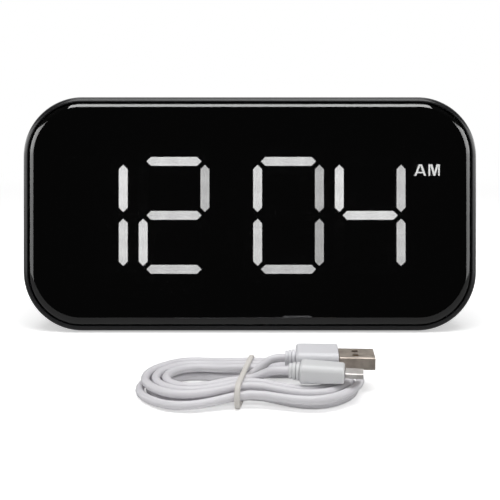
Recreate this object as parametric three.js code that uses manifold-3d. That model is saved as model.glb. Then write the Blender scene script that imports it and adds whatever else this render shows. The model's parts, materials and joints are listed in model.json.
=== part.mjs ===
// Digital alarm clock with a segment display, and the charging lead that lies in front of it.
// Millimetres, +Z up. The clock faces -Y and leans back on its own tapered base.
// Pieces of the clock are drawn square to its face: x to the right, depth back from the lens,
// z up the face from its lower edge. One group then leans them all back together.
import * as THREE from 'three';
import { mergeVertices } from 'three/addons/utils/BufferGeometryUtils.js';
import Module from 'manifold-3d';

const wasm = await Module();
wasm.setup();

// Driving sizes of the clock
const clockWidth = 200;
const clockHeight = 103.7;
const clockDepth = 38;
const cornerRadius = 26;
const leanDegrees = 10;
const sideTaperDegrees = 6;
const topTaperDegrees = 4;
const wall = 2.2;

// Fits that many pieces share
const fitGap = 0.3;
const overrun = 1;
const weld = 0.4;

// Steps of the round shapes
const cornerSteps = 8;
const smallSteps = 3;
const filletSteps = 3;
const roundSides = 16;
const smallSides = 10;
const screwSides = 8;

// Front rim and the shelf that the lens sits on
const rimWidth = 2.6;
const rimRadius = 2;
const rimSetback = 1;
const shelfWidth = 2.5;
const shelfThick = 1.6;
const lipThick = 1.2;
const lipLength = 2;
const lipRoot = 2;
const backRadius = 4;

// Lens
const lensThick = 3;
const lensEdgeRadius = 2.6;
const lensGap = 0.5;

// Segments of the four figures, in shares of the light box's width and height
const figureWidthShare = 0.156;
const figureHeightShare = 0.8354;
const figurePitchShare = 0.2063;
const pairPitchShare = 0.4954;
const figuresLeftShare = 0.0469;
const colonSpreadShare = 0.336;
const markWidthShare = 0.0743;
const markRightShare = 0.449;
const markUpShare = 0.353;
const figuresDrop = 0.45;
const segmentWidth = 4.2;
const tipGap = 1.5;
const colonSize = 4.4;
const markHeight = 6.4;

// Stack behind the lens
const maskThick = 0.8;
const maskEdge = 4.2;
const padSetback = 0.2;
const diffuserThick = 0.8;
const boxDeep = 8;
const boxSide = 0.9;
const boxInset = 23.3;
const boxCorner = 3;
const cavityBack = 1.7;
const cavityShort = 3;
const cavityGrow = 0.25;
const boardThick = 1.6;
const boardSide = 1.58;
const boardCorner = 3;
const splitRoom = 3.7;
const ledLong = 2.8;
const ledWide = 1.4;
const ledTall = 0.8;
const ledPitchShare = 0.42;

// Screws and the posts that take them
const screwShank = 1.2;
const screwHead = 2.5;
const screwHeadTall = 1.7;
const screwDomeShare = 0.55;
const screwBite = 8;
const crossLong = 2.8;
const crossWide = 0.7;
const crossDeep = 0.9;
const postRadius = 3;
const ribThick = 1.8;
const postEdge = 3;
const postSpreadShare = 0.6;
const bossAside = 18;
const bossInset = 18.5;
const counterbore = 3.1;
const counterboreDeep = 12.5;
const counterboreWall = 1.2;

// Snooze bar in the top
const snoozeLength = 64;
const snoozeWidth = 10;
const snoozeDepth = 12.4;
const snoozeCapTall = 6;
const snoozeFlange = 1.2;
const snoozeFlangeTall = 1.2;
const snoozeLegLong = 6;
const snoozeLegWide = 3;
const snoozeTabHalf = 9;
const snoozeTabDrop = 12.7;
const snoozeSwitchDrop = 18.2;

// Tact switches
const switchSide = 6;
const switchTall = 3.5;
const plungerRadius = 1.7;
const boreRadius = 2.05;
const boreDeep = 2.9;

// Keys on the back
const keyLong = 13;
const keyWide = 6.4;
const keyPitch = 27;
const keyDrop = 29.2;
const keyProud = 1;
const keyEdge = 0.7;
const keyFlange = 1.1;
const keyFlangeThick = 1.1;
const keyFlangeGap = 0.4;
const keyStem = 1.6;
const keyStemLong = 1;

// Control board behind the keys
const controlRoom = 7.8;
const controlAside = 28;
const controlLow = 20;
const controlDrop = 19.2;
const controlCorner = 3;
const controlCutRoom = 4;
const controlPostAside = 6;
const controlPostEdge = 5;
const controlPostRadius = 2.8;
const controlBite = 5;

// Power inlet
const inletAside = 16;
const inletZ = 32;
const inletLong = 13.6;
const inletTall = 9.6;
const inletCorner = 1.6;
const inletDeep = 4.6;
const inletWall = 1.2;
const socketWidth = 7.6;
const socketHeight = 2.9;
const socketWall = 0.35;
const socketSlope = 0.7;
const socketBase = 1.2;
const tongueWidth = 4.2;
const tongueThick = 0.7;

// Buzzer and the slots over it
const buzzerAside = 16;
const buzzerZ = 40;
const buzzerRadius = 6;
const buzzerHole = 1;
const buzzerHoleDeep = 2;
const slotCount = 5;
const slotPitch = 4.2;
const slotWide = 1.8;
const slotTall = 15;

// Battery bay for three cells, its contacts and its door
const cellPitch = 11;
const cellCount = 3;
const cellRoom = 12.2;
const bayLength = 51.6;
const bayHeight = 33.8;
const bayWall = 1.6;
const doorThick = 1.8;
const doorLap = 1.9;
const doorGap = 0.35;
const doorFrameTall = 2;
const tabReach = 1.7;
const tabThick = 1.5;
const tabWidth = 7;
const tabSpread = 28;
const tabRoot = 3;
const tabRoom = 0.6;
const gripCount = 3;
const gripLong = 16;
const gripWide = 1.2;
const gripPitch = 2.6;
const gripDeep = 0.5;
const contactSide = 9.4;
const contactThick = 0.6;
const contactBump = 1.4;
const contactBumpRadius = 2.2;
const coilTurns = 4;
const coilSteps = 8;
const coilSides = 5;
const coilWire = 0.4;
const coilWide = 3.6;
const coilNarrow = 1.8;
const coilLong = 5;

// Flat cable between the boards
const ribbonWidth = 14;
const ribbonThick = 0.9;
const ribbonDrop = 7.8;
const ribbonEdge = 3.3;
const ribbonStraight = 2.6;

// Feet
const footRadius = 4.5;
const footProud = 0.6;
const footSunk = 0.8;
const footEdge = 0.4;
const footAside = 34;
const footFrontDepth = 10;
const footRearDepth = 28.6;

// Charging lead: the cord, its hank and its tie
const cordDiameter = 3;
const cordLayer = 3.5;
const strandPitch = 3.7;
const hankHalfLength = 39.5;
const hankHalfWidth = 28;
const waistHalfWidth = 16.6;
const waistStep = 3.85;
const waistReach = 31;
const hankTurns = 5.44;
const hankReverse = 2.5;
const hankStart = 0.06;
const climbTurns = 0.5;
const loopSteps = 24;
const loopSides = 6;
const leadSides = 8;
const leadSteps = 10;
const hankAhead = 75;
const tieLift = 1.3;
const tieSpread = 10;
const tieThick = 0.8;
const tieWide = 2.2;
const tieTurnDegrees = 8;
const tieCorner = 1.8;
const tieLeft = 1.6;
const tieRoom = 1.2;

// Plugs of the lead
const plugGripLong = 15;
const plugGripWide = 15.4;
const plugGripThick = 7.6;
const plugGripEdge = 1.4;
const plugShellLong = 12.4;
const plugShellWide = 12;
const plugShellThick = 4.5;
const plugShellWall = 0.35;
const plugShellBack = 1;
const plugHoleSide = 2.2;
const plugHoleSpread = 5;
const plugHoleFromEnd = 5.6;
const plugCoreThick = 1.8;
const plugTurnDegrees = -3;
const tipGripLong = 15;
const tipGripWide = 10.4;
const tipGripThick = 6.8;
const tipGripEdge = 1.6;
const tipGripShare = 0.86;
const tipShellLong = 6;
const tipShellWide = 6.85;
const tipShellThick = 1.85;
const tipShellWall = 0.3;
const tipShellSlope = 0.6;
const tipShellBack = 1;
const tipTurnDegrees = -8;
const collarLong = 3.8;
const collarWide = 7.4;
const collarNarrow = 5;
const collarRings = 3;
const collarGroove = 0.5;
const collarTall = 6;
const collarEdge = 0.1;

// Depths that follow from the sizes above
const radians = THREE.MathUtils.degToRad;
const leanSlope = Math.tan(radians(leanDegrees));
const sideSlope = Math.tan(radians(sideTaperDegrees));
const topSlope = Math.tan(radians(topTaperDegrees));
const shelfFront = lensThick + fitGap;
const shelfBack = shelfFront + shelfThick;
const maskFront = shelfBack + fitGap;
const maskBack = maskFront + maskThick;
const diffuserFront = maskBack + fitGap;
const diffuserBack = diffuserFront + diffuserThick;
const boxFront = diffuserBack + fitGap;
const boxBack = boxFront + boxDeep;
const boardFront = boxBack + fitGap;
const boardBack = boardFront + boardThick;
const splitDepth = boardBack + splitRoom;
const coverFront = splitDepth + fitGap;
const lipFront = coverFront - lipLength;
const backInside = clockDepth - wall;
const controlBack = backInside - controlRoom;
const controlDepth = controlBack - boardThick;
const doorInside = clockDepth - doorThick;
const bayFloor = doorInside - cellRoom;

// Places across and up the face that follow from the sizes above
const boardHalfWidth = clockWidth / 2 - boardBack * sideSlope - wall - boardSide;
const postSide = boardHalfWidth - postEdge;
const boxHalfWidth = postSide - postRadius - boxSide;
const boxLow = boxInset;
const boxHigh = clockHeight - boxInset;
const boxWidth = 2 * boxHalfWidth;
const boxHeight = boxHigh - boxLow;
const figuresUp = (boxLow + boxHigh) / 2 - figuresDrop;
const figureWidth = figureWidthShare * boxWidth;
const figureHeight = figureHeightShare * boxHeight;
const colonX = -figuresLeftShare * boxWidth;
const bossX = clockWidth / 2 - bossAside;
const snoozeTabHigh = clockHeight - snoozeTabDrop;
const snoozeSwitchLow = clockHeight - snoozeSwitchDrop;
const keyRow = clockHeight - keyDrop;
const keyFoot = keyRow - keyWide / 2 - keyFlange;
const bayCentre = (clockDepth * leanSlope + backRadius + keyFoot) / 2;
const controlHalfWidth = clockWidth / 2 - controlAside;
const controlHigh = clockHeight - controlDrop;
const controlPostX = controlHalfWidth - controlPostAside;
const inletX = controlHalfWidth - inletAside;
const buzzerX = buzzerAside - controlHalfWidth;
const ribbonFrom = boxHigh - ribbonDrop;
const footX = clockWidth / 2 - footAside;
const bayLow = bayCentre - bayHeight / 2;
const bayHigh = bayCentre + bayHeight / 2;
const doorLow = bayLow - doorLap;
const doorHigh = bayHigh + doorLap;
const doorHalf = bayLength / 2 + doorLap;
const cellDepth = (bayFloor + doorInside) / 2;
const controlCutHalf = bayLength / 2 + bayWall + controlCutRoom;
const controlCutHigh = bayHigh + bayWall + controlCutRoom;
const ribbonTo = controlCutHigh + ribbonEdge;
const postLow = figuresUp - (postSpreadShare * boxHeight) / 2;
const postHigh = figuresUp + (postSpreadShare * boxHeight) / 2;
const cordRadius = cordDiameter / 2;

// Solid helpers
function solid(geometry) {
  const bare = geometry.clone();
  bare.deleteAttribute('normal');
  bare.deleteAttribute('uv');
  const merged = mergeVertices(bare);
  const vertProperties = new Float32Array(merged.attributes.position.array);
  const triVerts = new Uint32Array(merged.index.array);
  return new wasm.Manifold(new wasm.Mesh({ numProp: 3, vertProperties, triVerts }));
}

function geometryOf(shape) {
  const mesh = shape.getMesh();
  const geometry = new THREE.BufferGeometry();
  geometry.setAttribute('position', new THREE.BufferAttribute(mesh.vertProperties, 3));
  geometry.setIndex(new THREE.BufferAttribute(mesh.triVerts, 1));
  geometry.computeVertexNormals();
  return geometry;
}

function join(first, ...others) {
  return others.reduce((whole, piece) => whole.add(solid(piece)), first);
}

function cut(first, ...others) {
  return others.reduce((whole, piece) => whole.subtract(solid(piece)), first);
}

// A closed skin over rings of equal count; each ring runs anticlockwise seen from the first one
function loft(rings) {
  const count = rings[0].length;
  const points = rings.flat();
  const index = [];
  for (let r = 0; r < rings.length - 1; r += 1) {
    for (let i = 0; i < count; i += 1) {
      const a = r * count + i;
      const b = r * count + ((i + 1) % count);
      index.push(a, a + count, b, b, a + count, b + count);
    }
  }
  const last = (rings.length - 1) * count;
  for (let i = 1; i < count - 1; i += 1) {
    index.push(0, i, i + 1);
    index.push(last, last + i + 1, last + i);
  }
  const geometry = new THREE.BufferGeometry().setFromPoints(points);
  geometry.setIndex(index);
  return geometry;
}

// A rounded rectangle square to the depth
function roundedRing({ left, right, low, high, radius }, depth, steps = smallSteps) {
  const corners = [
    [right - radius, low + radius],
    [right - radius, high - radius],
    [left + radius, high - radius],
    [left + radius, low + radius],
  ];
  return corners.flatMap(([x, z], corner) => {
    const points = [];
    for (let i = 0; i <= steps; i += 1) {
      const angle = (Math.PI / 2) * (corner - 1 + i / steps);
      points.push(new THREE.Vector3(x + radius * Math.cos(angle), depth, z + radius * Math.sin(angle)));
    }
    return points;
  });
}

// The body's outline at a depth, drawn in by an inset
function bodyRing(depth, inset) {
  const side = clockWidth / 2 - depth * sideSlope - inset;
  return roundedRing({
    left: -side,
    right: side,
    low: depth * leanSlope + inset,
    high: clockHeight - depth * topSlope - inset,
    radius: cornerRadius - inset,
  }, depth, cornerSteps);
}

function roundedPlate(outline, from, to) {
  return loft([roundedRing(outline, from), roundedRing(outline, to)]);
}

// A rounded outline round a middle point
function around(x, z, long, tall, radius) {
  return { left: x - long / 2, right: x + long / 2, low: z - tall / 2, high: z + tall / 2, radius };
}

function block(left, right, from, to, low, high) {
  const box = new THREE.BoxGeometry(right - left, to - from, high - low);
  return box.translate((left + right) / 2, (from + to) / 2, (low + high) / 2);
}

function rod(radius, from, to, x, z, sides = roundSides) {
  const cylinder = new THREE.CylinderGeometry(radius, radius, to - from, sides);
  return cylinder.translate(x, (from + to) / 2, z);
}

function piece(name, shape, look, group) {
  const geometry = shape.isBufferGeometry ? geometryOf(solid(shape)) : geometryOf(shape);
  const mesh = new THREE.Mesh(geometry, look);
  mesh.name = name;
  group.add(mesh);
}

// Materials
function look(color, roughness, metalness = 0) {
  return new THREE.MeshStandardMaterial({ color, roughness, metalness });
}
const looks = {
  housing: look(0x1a1a1c, 0.34),
  cover: look(0x161617, 0.6),
  lens: look(0x050506, 0.06),
  mask: look(0x0a0a0b, 0.7),
  diffuser: new THREE.MeshStandardMaterial({ color: 0xdfe1e4, roughness: 0.6, emissive: 0x9a9ca0 }),
  reflector: look(0xdedfdc, 0.55),
  board: look(0x1c4f33, 0.5),
  steel: look(0x9c9da0, 0.35, 0.9),
  nickel: look(0x9a938c, 0.3, 0.95),
  black: look(0x121212, 0.5),
  rubber: look(0x1b1b1b, 0.85),
  key: look(0x232325, 0.55),
  brass: look(0xb59a55, 0.35, 0.9),
  ribbon: look(0xc9c9c4, 0.6),
  cord: look(0xdcdbe0, 0.5),
  grip: look(0xe4e6e6, 0.45),
  tie: look(0xd9d4c9, 0.6),
};

// Front housing: a tapered tube with a rounded rim, a lens shelf and screw posts
function outerFront() {
  const rings = [];
  for (let i = 0; i <= filletSteps; i += 1) {
    const angle = (Math.PI / 2) * (i / filletSteps);
    const depth = rimSetback + rimRadius * (1 - Math.cos(angle));
    rings.push(bodyRing(depth, rimRadius * (1 - Math.sin(angle))));
  }
  rings.push(bodyRing(splitDepth, 0));
  return loft(rings);
}

function snoozeOutline(grow) {
  return new THREE.Shape()
    .absarc(snoozeLength / 2 - snoozeWidth / 2, 0, snoozeWidth / 2 + grow, -Math.PI / 2, Math.PI / 2)
    .absarc(snoozeWidth / 2 - snoozeLength / 2, 0, snoozeWidth / 2 + grow, Math.PI / 2, Math.PI * 1.5);
}

// An upright prism of the snooze bar's outline
function snoozePrism(grow, low, high) {
  const body = new THREE.ExtrudeGeometry(snoozeOutline(grow), {
    depth: high - low,
    bevelEnabled: false,
    curveSegments: cornerSteps,
  });
  return body.translate(0, snoozeDepth, low);
}

// The seat that a foot is glued into, square to the tapered base
function footSeat(x, depth) {
  const seat = new THREE.CylinderGeometry(footRadius + fitGap, footRadius + fitGap, footSunk + overrun, roundSides);
  seat.rotateX(Math.PI / 2).translate(0, 0, (footSunk - overrun) / 2);
  return seat.rotateX(radians(leanDegrees)).translate(x, depth, depth * leanSlope);
}

function frontHousing() {
  let shell = solid(outerFront());
  shell = cut(
    shell,
    loft([bodyRing(-overrun, rimWidth), bodyRing(shelfFront, rimWidth)]),
    loft([bodyRing(0, rimWidth + shelfWidth), bodyRing(shelfBack + overrun, rimWidth + shelfWidth)]),
    loft([bodyRing(shelfBack, wall), bodyRing(splitDepth + overrun, wall)]),
  );
  const inside = solid(loft([bodyRing(shelfFront, wall - weld), bodyRing(splitDepth, wall - weld)]));
  let posts = null;
  const add = (shape) => {
    posts = posts ? posts.add(solid(shape)) : solid(shape);
  };
  for (const sign of [-1, 1]) {
    for (const z of [postLow, postHigh]) {
      add(rod(postRadius, diffuserFront, boxBack, sign * postSide, z));
      const edges = [sign * postSide, sign * clockWidth / 2].sort((a, b) => a - b);
      add(block(...edges, diffuserFront, boxBack, z - ribThick / 2, z + ribThick / 2));
    }
    for (const z of [bossInset, clockHeight - bossInset]) {
      add(rod(postRadius, boardFront, splitDepth, sign * bossX, z));
      const edges = [sign * bossX, sign * clockWidth / 2].sort((a, b) => a - b);
      add(block(...edges, boardFront, lipFront - fitGap, z - ribThick / 2, z + ribThick / 2));
    }
  }
  shell = shell.add(posts.intersect(inside));
  for (const sign of [-1, 1]) {
    for (const z of [postLow, postHigh]) {
      shell = cut(shell, rod(screwShank + fitGap, diffuserFront - overrun, boxBack + overrun, sign * postSide, z, smallSides));
    }
    for (const z of [bossInset, clockHeight - bossInset]) {
      shell = cut(shell, rod(screwShank + fitGap, boardFront - overrun, splitDepth + overrun, sign * bossX, z, smallSides));
    }
    shell = cut(shell, footSeat(sign * footX, footFrontDepth));
  }
  return cut(shell, snoozePrism(fitGap, snoozeTabHigh, clockHeight + overrun));
}

// Lens: a smoked plate with a polished round edge, proud of the rim
function frontLens() {
  const inset = rimWidth + lensGap;
  const rings = [];
  for (let i = 0; i <= filletSteps + 1; i += 1) {
    const angle = (Math.PI / 2) * (i / (filletSteps + 1));
    const drawnIn = inset + lensEdgeRadius * (1 - Math.sin(angle));
    rings.push(bodyRing(lensEdgeRadius * (1 - Math.cos(angle)), drawnIn));
  }
  rings.push(bodyRing(lensThick, inset));
  return loft(rings);
}

// The seven segments of one figure: middle, half length and direction
function figureSegments(middle) {
  const halfWide = figureWidth / 2;
  const halfTall = figureHeight / 2;
  const level = halfWide - tipGap;
  const upright = halfTall / 2 - tipGap;
  return [
    { x: middle, z: figuresUp + halfTall, half: level, upright: false },
    { x: middle + halfWide, z: figuresUp + halfTall / 2, half: upright, upright: true },
    { x: middle + halfWide, z: figuresUp - halfTall / 2, half: upright, upright: true },
    { x: middle, z: figuresUp - halfTall, half: level, upright: false },
    { x: middle - halfWide, z: figuresUp - halfTall / 2, half: upright, upright: true },
    { x: middle - halfWide, z: figuresUp + halfTall / 2, half: upright, upright: true },
    { x: middle, z: figuresUp, half: level, upright: false },
  ];
}

const figureMiddles = [-1, 1].flatMap((pair) => [-1, 1].map(
  (side) => colonX + ((pair * pairPitchShare + side * figurePitchShare) * boxWidth) / 2,
));
const segments = figureMiddles.flatMap(figureSegments);

// The pointed outline of one segment at a depth, grown all round
function segmentRing({ x, z, half, upright }, depth, grow, shorten = 0) {
  const wide = segmentWidth / 2 + grow;
  const long = half + grow * Math.SQRT2 - shorten;
  const outline = [[-long, 0], [wide - long, -wide], [long - wide, -wide], [long, 0], [long - wide, wide], [wide - long, wide]];
  return outline.map(([along, across]) => (upright
    ? new THREE.Vector3(x - across, depth, z + along)
    : new THREE.Vector3(x + along, depth, z + across)));
}

// The square dots of the colon and the small window for the half of the day
const colonSpread = colonSpreadShare * boxHeight;
const markX = markRightShare * boxWidth;
const markZ = figuresUp + markUpShare * boxHeight;
const smallWindows = [
  around(colonX, figuresUp - colonSpread / 2, colonSize, colonSize, colonSize / 4),
  around(colonX, figuresUp + colonSpread / 2, colonSize, colonSize, colonSize / 4),
  around(markX, markZ, markWidthShare * boxWidth, markHeight, colonSize / 4),
];

function grown({ left, right, low, high, radius }, grow) {
  return { left: left - grow, right: right + grow, low: low - grow, high: high + grow, radius };
}

// Black mask with one window for each segment
function windowMask() {
  let plate = solid(loft([bodyRing(maskFront, maskEdge), bodyRing(maskBack, maskEdge)]));
  for (const segment of segments) {
    const from = segmentRing(segment, maskFront - overrun, fitGap);
    plate = cut(plate, loft([from, segmentRing(segment, maskBack + overrun, fitGap)]));
  }
  for (const window of smallWindows) {
    plate = cut(plate, roundedPlate(grown(window, fitGap), maskFront - overrun, maskBack + overrun));
  }
  return plate;
}

// Milky sheet whose raised pads fill the windows of the mask
function segmentDiffuser() {
  const outline = { left: -boxHalfWidth, right: boxHalfWidth, low: boxLow, high: boxHigh, radius: boxCorner };
  let sheet = solid(roundedPlate(outline, diffuserFront, diffuserBack));
  const padFront = maskFront + padSetback;
  const padBack = diffuserFront + diffuserThick / 2;
  for (const segment of segments) {
    sheet = join(sheet, loft([segmentRing(segment, padFront, 0), segmentRing(segment, padBack, 0)]));
  }
  for (const window of smallWindows) {
    sheet = join(sheet, roundedPlate(window, padFront, padBack));
  }
  return sheet;
}

// Light box: one tapered cavity behind each window, so that no light strays to its neighbour
function lightBox() {
  const outline = { left: -boxHalfWidth, right: boxHalfWidth, low: boxLow, high: boxHigh, radius: boxCorner };
  let box = solid(roundedPlate(outline, boxFront, boxBack));
  for (const segment of segments) {
    const narrow = cavityBack - segmentWidth / 2;
    const front = segmentRing(segment, boxFront - overrun, cavityGrow);
    box = cut(box, loft([front, segmentRing(segment, boxBack + overrun, narrow, cavityShort)]));
  }
  for (const window of smallWindows) {
    const front = roundedRing(window, boxFront - overrun);
    box = cut(box, loft([front, roundedRing(grown(window, -cavityGrow), boxBack + overrun)]));
  }
  return box;
}

// A plate with rounded corners and round holes
function drilledPlate(outline, from, to, holes, radius) {
  const bores = holes.map(([x, z]) => rod(radius, from - overrun, to + overrun, x, z, smallSides));
  return cut(solid(roundedPlate(outline, from, to)), ...bores);
}

const postPlaces = [-1, 1].flatMap((sign) => [[sign * postSide, postLow], [sign * postSide, postHigh]]);

// Display board with its lamps, and a tab at the top that carries the snooze switch
function displayBoard() {
  const outline = { left: -boardHalfWidth, right: boardHalfWidth, low: boxLow, high: boxHigh, radius: boardCorner };
  let board = drilledPlate(outline, boardFront, boardBack, postPlaces, screwShank + fitGap);
  const tab = { left: -snoozeTabHalf, right: snoozeTabHalf, low: boxHigh - boardCorner, high: snoozeTabHigh, radius: boardCorner };
  board = join(board, roundedPlate(tab, boardFront, boardBack));
  const lamp = (x, z, upright) => {
    const wide = (upright ? ledWide : ledLong) / 2;
    const tall = (upright ? ledLong : ledWide) / 2;
    board = join(board, block(x - wide, x + wide, boardFront - ledTall, boardFront + weld, z - tall, z + tall));
  };
  for (const { x, z, half, upright } of segments) {
    for (const sign of [-1, 1]) {
      const along = sign * half * ledPitchShare;
      lamp(upright ? x : x + along, upright ? z + along : z, upright);
    }
  }
  for (const { left, right, low, high } of smallWindows) {
    lamp((left + right) / 2, (low + high) / 2, false);
  }
  return board;
}

// A pan head screw along the depth with its head to the back, seated at the origin
function screw(bite) {
  const dome = screwHeadTall * screwDomeShare;
  const profile = [
    [0, -bite],
    [screwShank, screwShank - bite],
    [screwShank, 0],
    [screwHead, 0],
    [screwHead, dome],
    [(screwHead + crossLong) / 2 - crossWide / 2, screwHeadTall],
    [0, screwHeadTall],
  ];
  const body = turned(profile, screwSides);
  const top = screwHeadTall + overrun;
  const from = screwHeadTall - crossDeep;
  return cut(
    solid(body),
    block(-crossLong / 2, crossLong / 2, from, top, -crossWide / 2, crossWide / 2),
    block(-crossWide / 2, crossWide / 2, from, top, -crossLong / 2, crossLong / 2),
  );
}

// A body of revolution about the depth, from its radii and depths
function turned(profile, sides) {
  return new THREE.LatheGeometry(profile.map(([r, y]) => new THREE.Vector2(r, y)), sides);
}

function placed(shape, x, depth, z) {
  return geometryOf(shape).translate(x, depth, z);
}

// Tact switch with a bore for its plunger, opening to the back
function tactSwitch(boreFrom) {
  const half = switchSide / 2;
  const base = solid(block(-half, half, 0, switchTall, -half, half));
  return cut(base, rod(boreRadius, boreFrom, switchTall + overrun, 0, 0, smallSides));
}

function plunger(length) {
  const edge = plungerRadius / 4;
  const profile = [[0, 0], [plungerRadius, 0], [plungerRadius, length - edge], [plungerRadius - edge, length], [0, length]];
  return turned(profile, smallSides);
}

// Rear cover: a tapered cup with a round back edge, made to drop its lip into the housing
function outerBack() {
  const rings = [bodyRing(coverFront, 0)];
  for (let i = 0; i <= filletSteps; i += 1) {
    const angle = (Math.PI / 2) * (i / filletSteps);
    const depth = clockDepth - backRadius * (1 - Math.sin(angle));
    rings.push(bodyRing(depth, backRadius * (1 - Math.cos(angle))));
  }
  return loft(rings);
}

function innerBack() {
  const round = backRadius - wall;
  const rings = [bodyRing(coverFront - overrun, wall)];
  for (let i = 0; i <= filletSteps; i += 1) {
    const angle = (Math.PI / 2) * (i / filletSteps);
    rings.push(bodyRing(backInside - round * (1 - Math.sin(angle)), wall + round * (1 - Math.cos(angle))));
  }
  return loft(rings);
}

const bossPlaces = [-1, 1].flatMap((sign) => [[sign * bossX, bossInset], [sign * bossX, clockHeight - bossInset]]);
const controlPosts = [-1, 1].flatMap((sign) => [
  [sign * controlPostX, controlLow + controlPostEdge],
  [sign * controlPostX, controlHigh - controlPostEdge],
]);
const keyPlaces = [-1.5, -0.5, 0.5, 1.5].map((share) => [-share * keyPitch, keyRow]);
const boreTop = clockDepth - counterboreDeep;

function bayBlock(grow, from, to) {
  const half = bayLength / 2 + grow;
  return block(-half, half, from, to, bayLow - grow, bayHigh + grow);
}

function rearCover() {
  const lipInset = wall + fitGap;
  let cover = cut(solid(outerBack()), innerBack());
  const rootRing = cut(
    solid(loft([bodyRing(coverFront, wall - weld), bodyRing(coverFront + lipRoot, wall - weld)])),
    loft([bodyRing(coverFront - overrun, lipInset + lipThick), bodyRing(coverFront + lipRoot + overrun, lipInset + lipThick)]),
  );
  const lipRing = cut(
    solid(loft([bodyRing(lipFront, lipInset), bodyRing(coverFront + weld, lipInset)])),
    loft([bodyRing(lipFront - overrun, lipInset + lipThick), bodyRing(coverFront + overrun, lipInset + lipThick)]),
  );
  cover = cover.add(rootRing).add(lipRing);
  for (const [x, z] of bossPlaces) {
    cover = join(cover, rod(counterbore + counterboreWall, coverFront, backInside + weld, x, z));
  }
  for (const [x, z] of controlPosts) {
    cover = join(cover, rod(controlPostRadius, controlBack + fitGap, backInside + weld, x, z, smallSides));
  }
  const frameFront = backInside - doorFrameTall + weld;
  cover = join(
    cover,
    bayBlock(bayWall, bayFloor - bayWall, backInside),
    bayBlock(doorLap + doorGap + bayWall, frameFront, backInside + weld),
    roundedPlate(around(inletX, inletZ, inletLong + 2 * inletWall, inletTall + 2 * inletWall, inletCorner + inletWall), clockDepth - inletDeep - inletWall, backInside + weld),
  );
  cover = cut(
    cover,
    bayBlock(0, bayFloor, clockDepth + overrun),
    bayBlock(doorLap + doorGap, doorInside - fitGap, clockDepth + overrun),
    roundedPlate(around(inletX, inletZ, inletLong, inletTall, inletCorner), clockDepth - inletDeep, clockDepth + overrun),
    roundedPlate(around(inletX, inletZ, socketWidth + 2 * fitGap, socketHeight + 2 * fitGap, socketSlope), controlBack, clockDepth),
  );
  for (const sign of [-1, 1]) {
    const middle = sign * tabSpread / 2;
    const half = tabWidth / 2 + doorGap;
    const low = doorLow - tabReach - tabRoom;
    cover = cut(
      cover,
      block(middle - half, middle + half, backInside - tabThick - 2 * tabRoom, backInside, low, bayLow + overrun),
      block(middle - half, middle + half, backInside - tabRoom, doorInside, doorLow - doorGap, bayLow + overrun),
    );
  }
  for (const [x, z] of keyPlaces) {
    const hole = around(x, z, keyLong + 2 * fitGap, keyWide + 2 * fitGap, keyWide / 2 + fitGap);
    cover = cut(cover, roundedPlate(hole, backInside - overrun, clockDepth + overrun));
  }
  for (let i = 0; i < slotCount; i += 1) {
    const x = buzzerX + (i - (slotCount - 1) / 2) * slotPitch;
    const slot = around(x, buzzerZ, slotWide, slotTall, slotWide / 2);
    cover = cut(cover, roundedPlate(slot, backInside - overrun, clockDepth + overrun));
  }
  for (const [x, z] of bossPlaces) {
    cover = cut(
      cover,
      rod(counterbore, boreTop, clockDepth + overrun, x, z),
      rod(screwShank + fitGap, coverFront - overrun, boreTop + overrun, x, z, smallSides),
    );
  }
  for (const [x, z] of controlPosts) {
    cover = cut(cover, rod(screwShank + fitGap, controlBack, backInside, x, z, smallSides));
  }
  return cut(cover, footSeat(footX, footRearDepth), footSeat(-footX, footRearDepth));
}

// A plunger starts above the bottom of its bore and ends just under the key's stem
const plungerFoot = switchTall - boreDeep + fitGap + keyFlangeGap;
const plungerTop = controlRoom - keyFlangeGap - keyFlangeThick - keyStemLong - 2 * fitGap;
const plungerTall = plungerTop - plungerFoot;

// Key cap with a rounded top, the flange that keeps it in and the stem that meets its switch
function rearKey() {
  const top = clockDepth + keyProud;
  const flangeBack = backInside - keyFlangeGap;
  const outline = (drawnIn) => around(0, 0, keyLong - 2 * drawnIn, keyWide - 2 * drawnIn, keyWide / 2 - drawnIn);
  const cap = loft([
    roundedRing(outline(0), flangeBack - weld),
    roundedRing(outline(0), top - keyEdge),
    roundedRing(outline(keyEdge * (1 - Math.SQRT1_2)), top - keyEdge * (1 - Math.SQRT1_2)),
    roundedRing(outline(keyEdge), top),
  ]);
  const flangeFront = flangeBack - keyFlangeThick;
  const flange = roundedPlate(outline(-keyFlange), flangeFront, flangeBack);
  return join(solid(cap), flange, rod(keyStem, flangeFront - keyStemLong, flangeFront + weld, 0, 0, smallSides));
}

// Control board, cut out round the battery bay
function controlBoard() {
  const outline = { left: -controlHalfWidth, right: controlHalfWidth, low: controlLow, high: controlHigh, radius: controlCorner };
  const board = drilledPlate(outline, controlDepth, controlBack, controlPosts, screwShank + fitGap);
  const cut = { left: -controlCutHalf, right: controlCutHalf, low: controlLow - 2 * controlCorner, high: controlCutHigh, radius: controlCorner };
  return board.subtract(solid(roundedPlate(cut, controlDepth - overrun, controlBack + overrun)));
}

// Shell section of the small power connector: a box whose lower corners are cut off
function connectorRing(x, z, width, height, slope, depth) {
  const w = width / 2;
  const h = height / 2;
  const outline = [[slope - w, -h], [w - slope, -h], [w, slope - h], [w, h], [-w, h], [-w, slope - h]];
  return outline.map(([a, b]) => new THREE.Vector3(x + a, depth, z + b));
}

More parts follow.
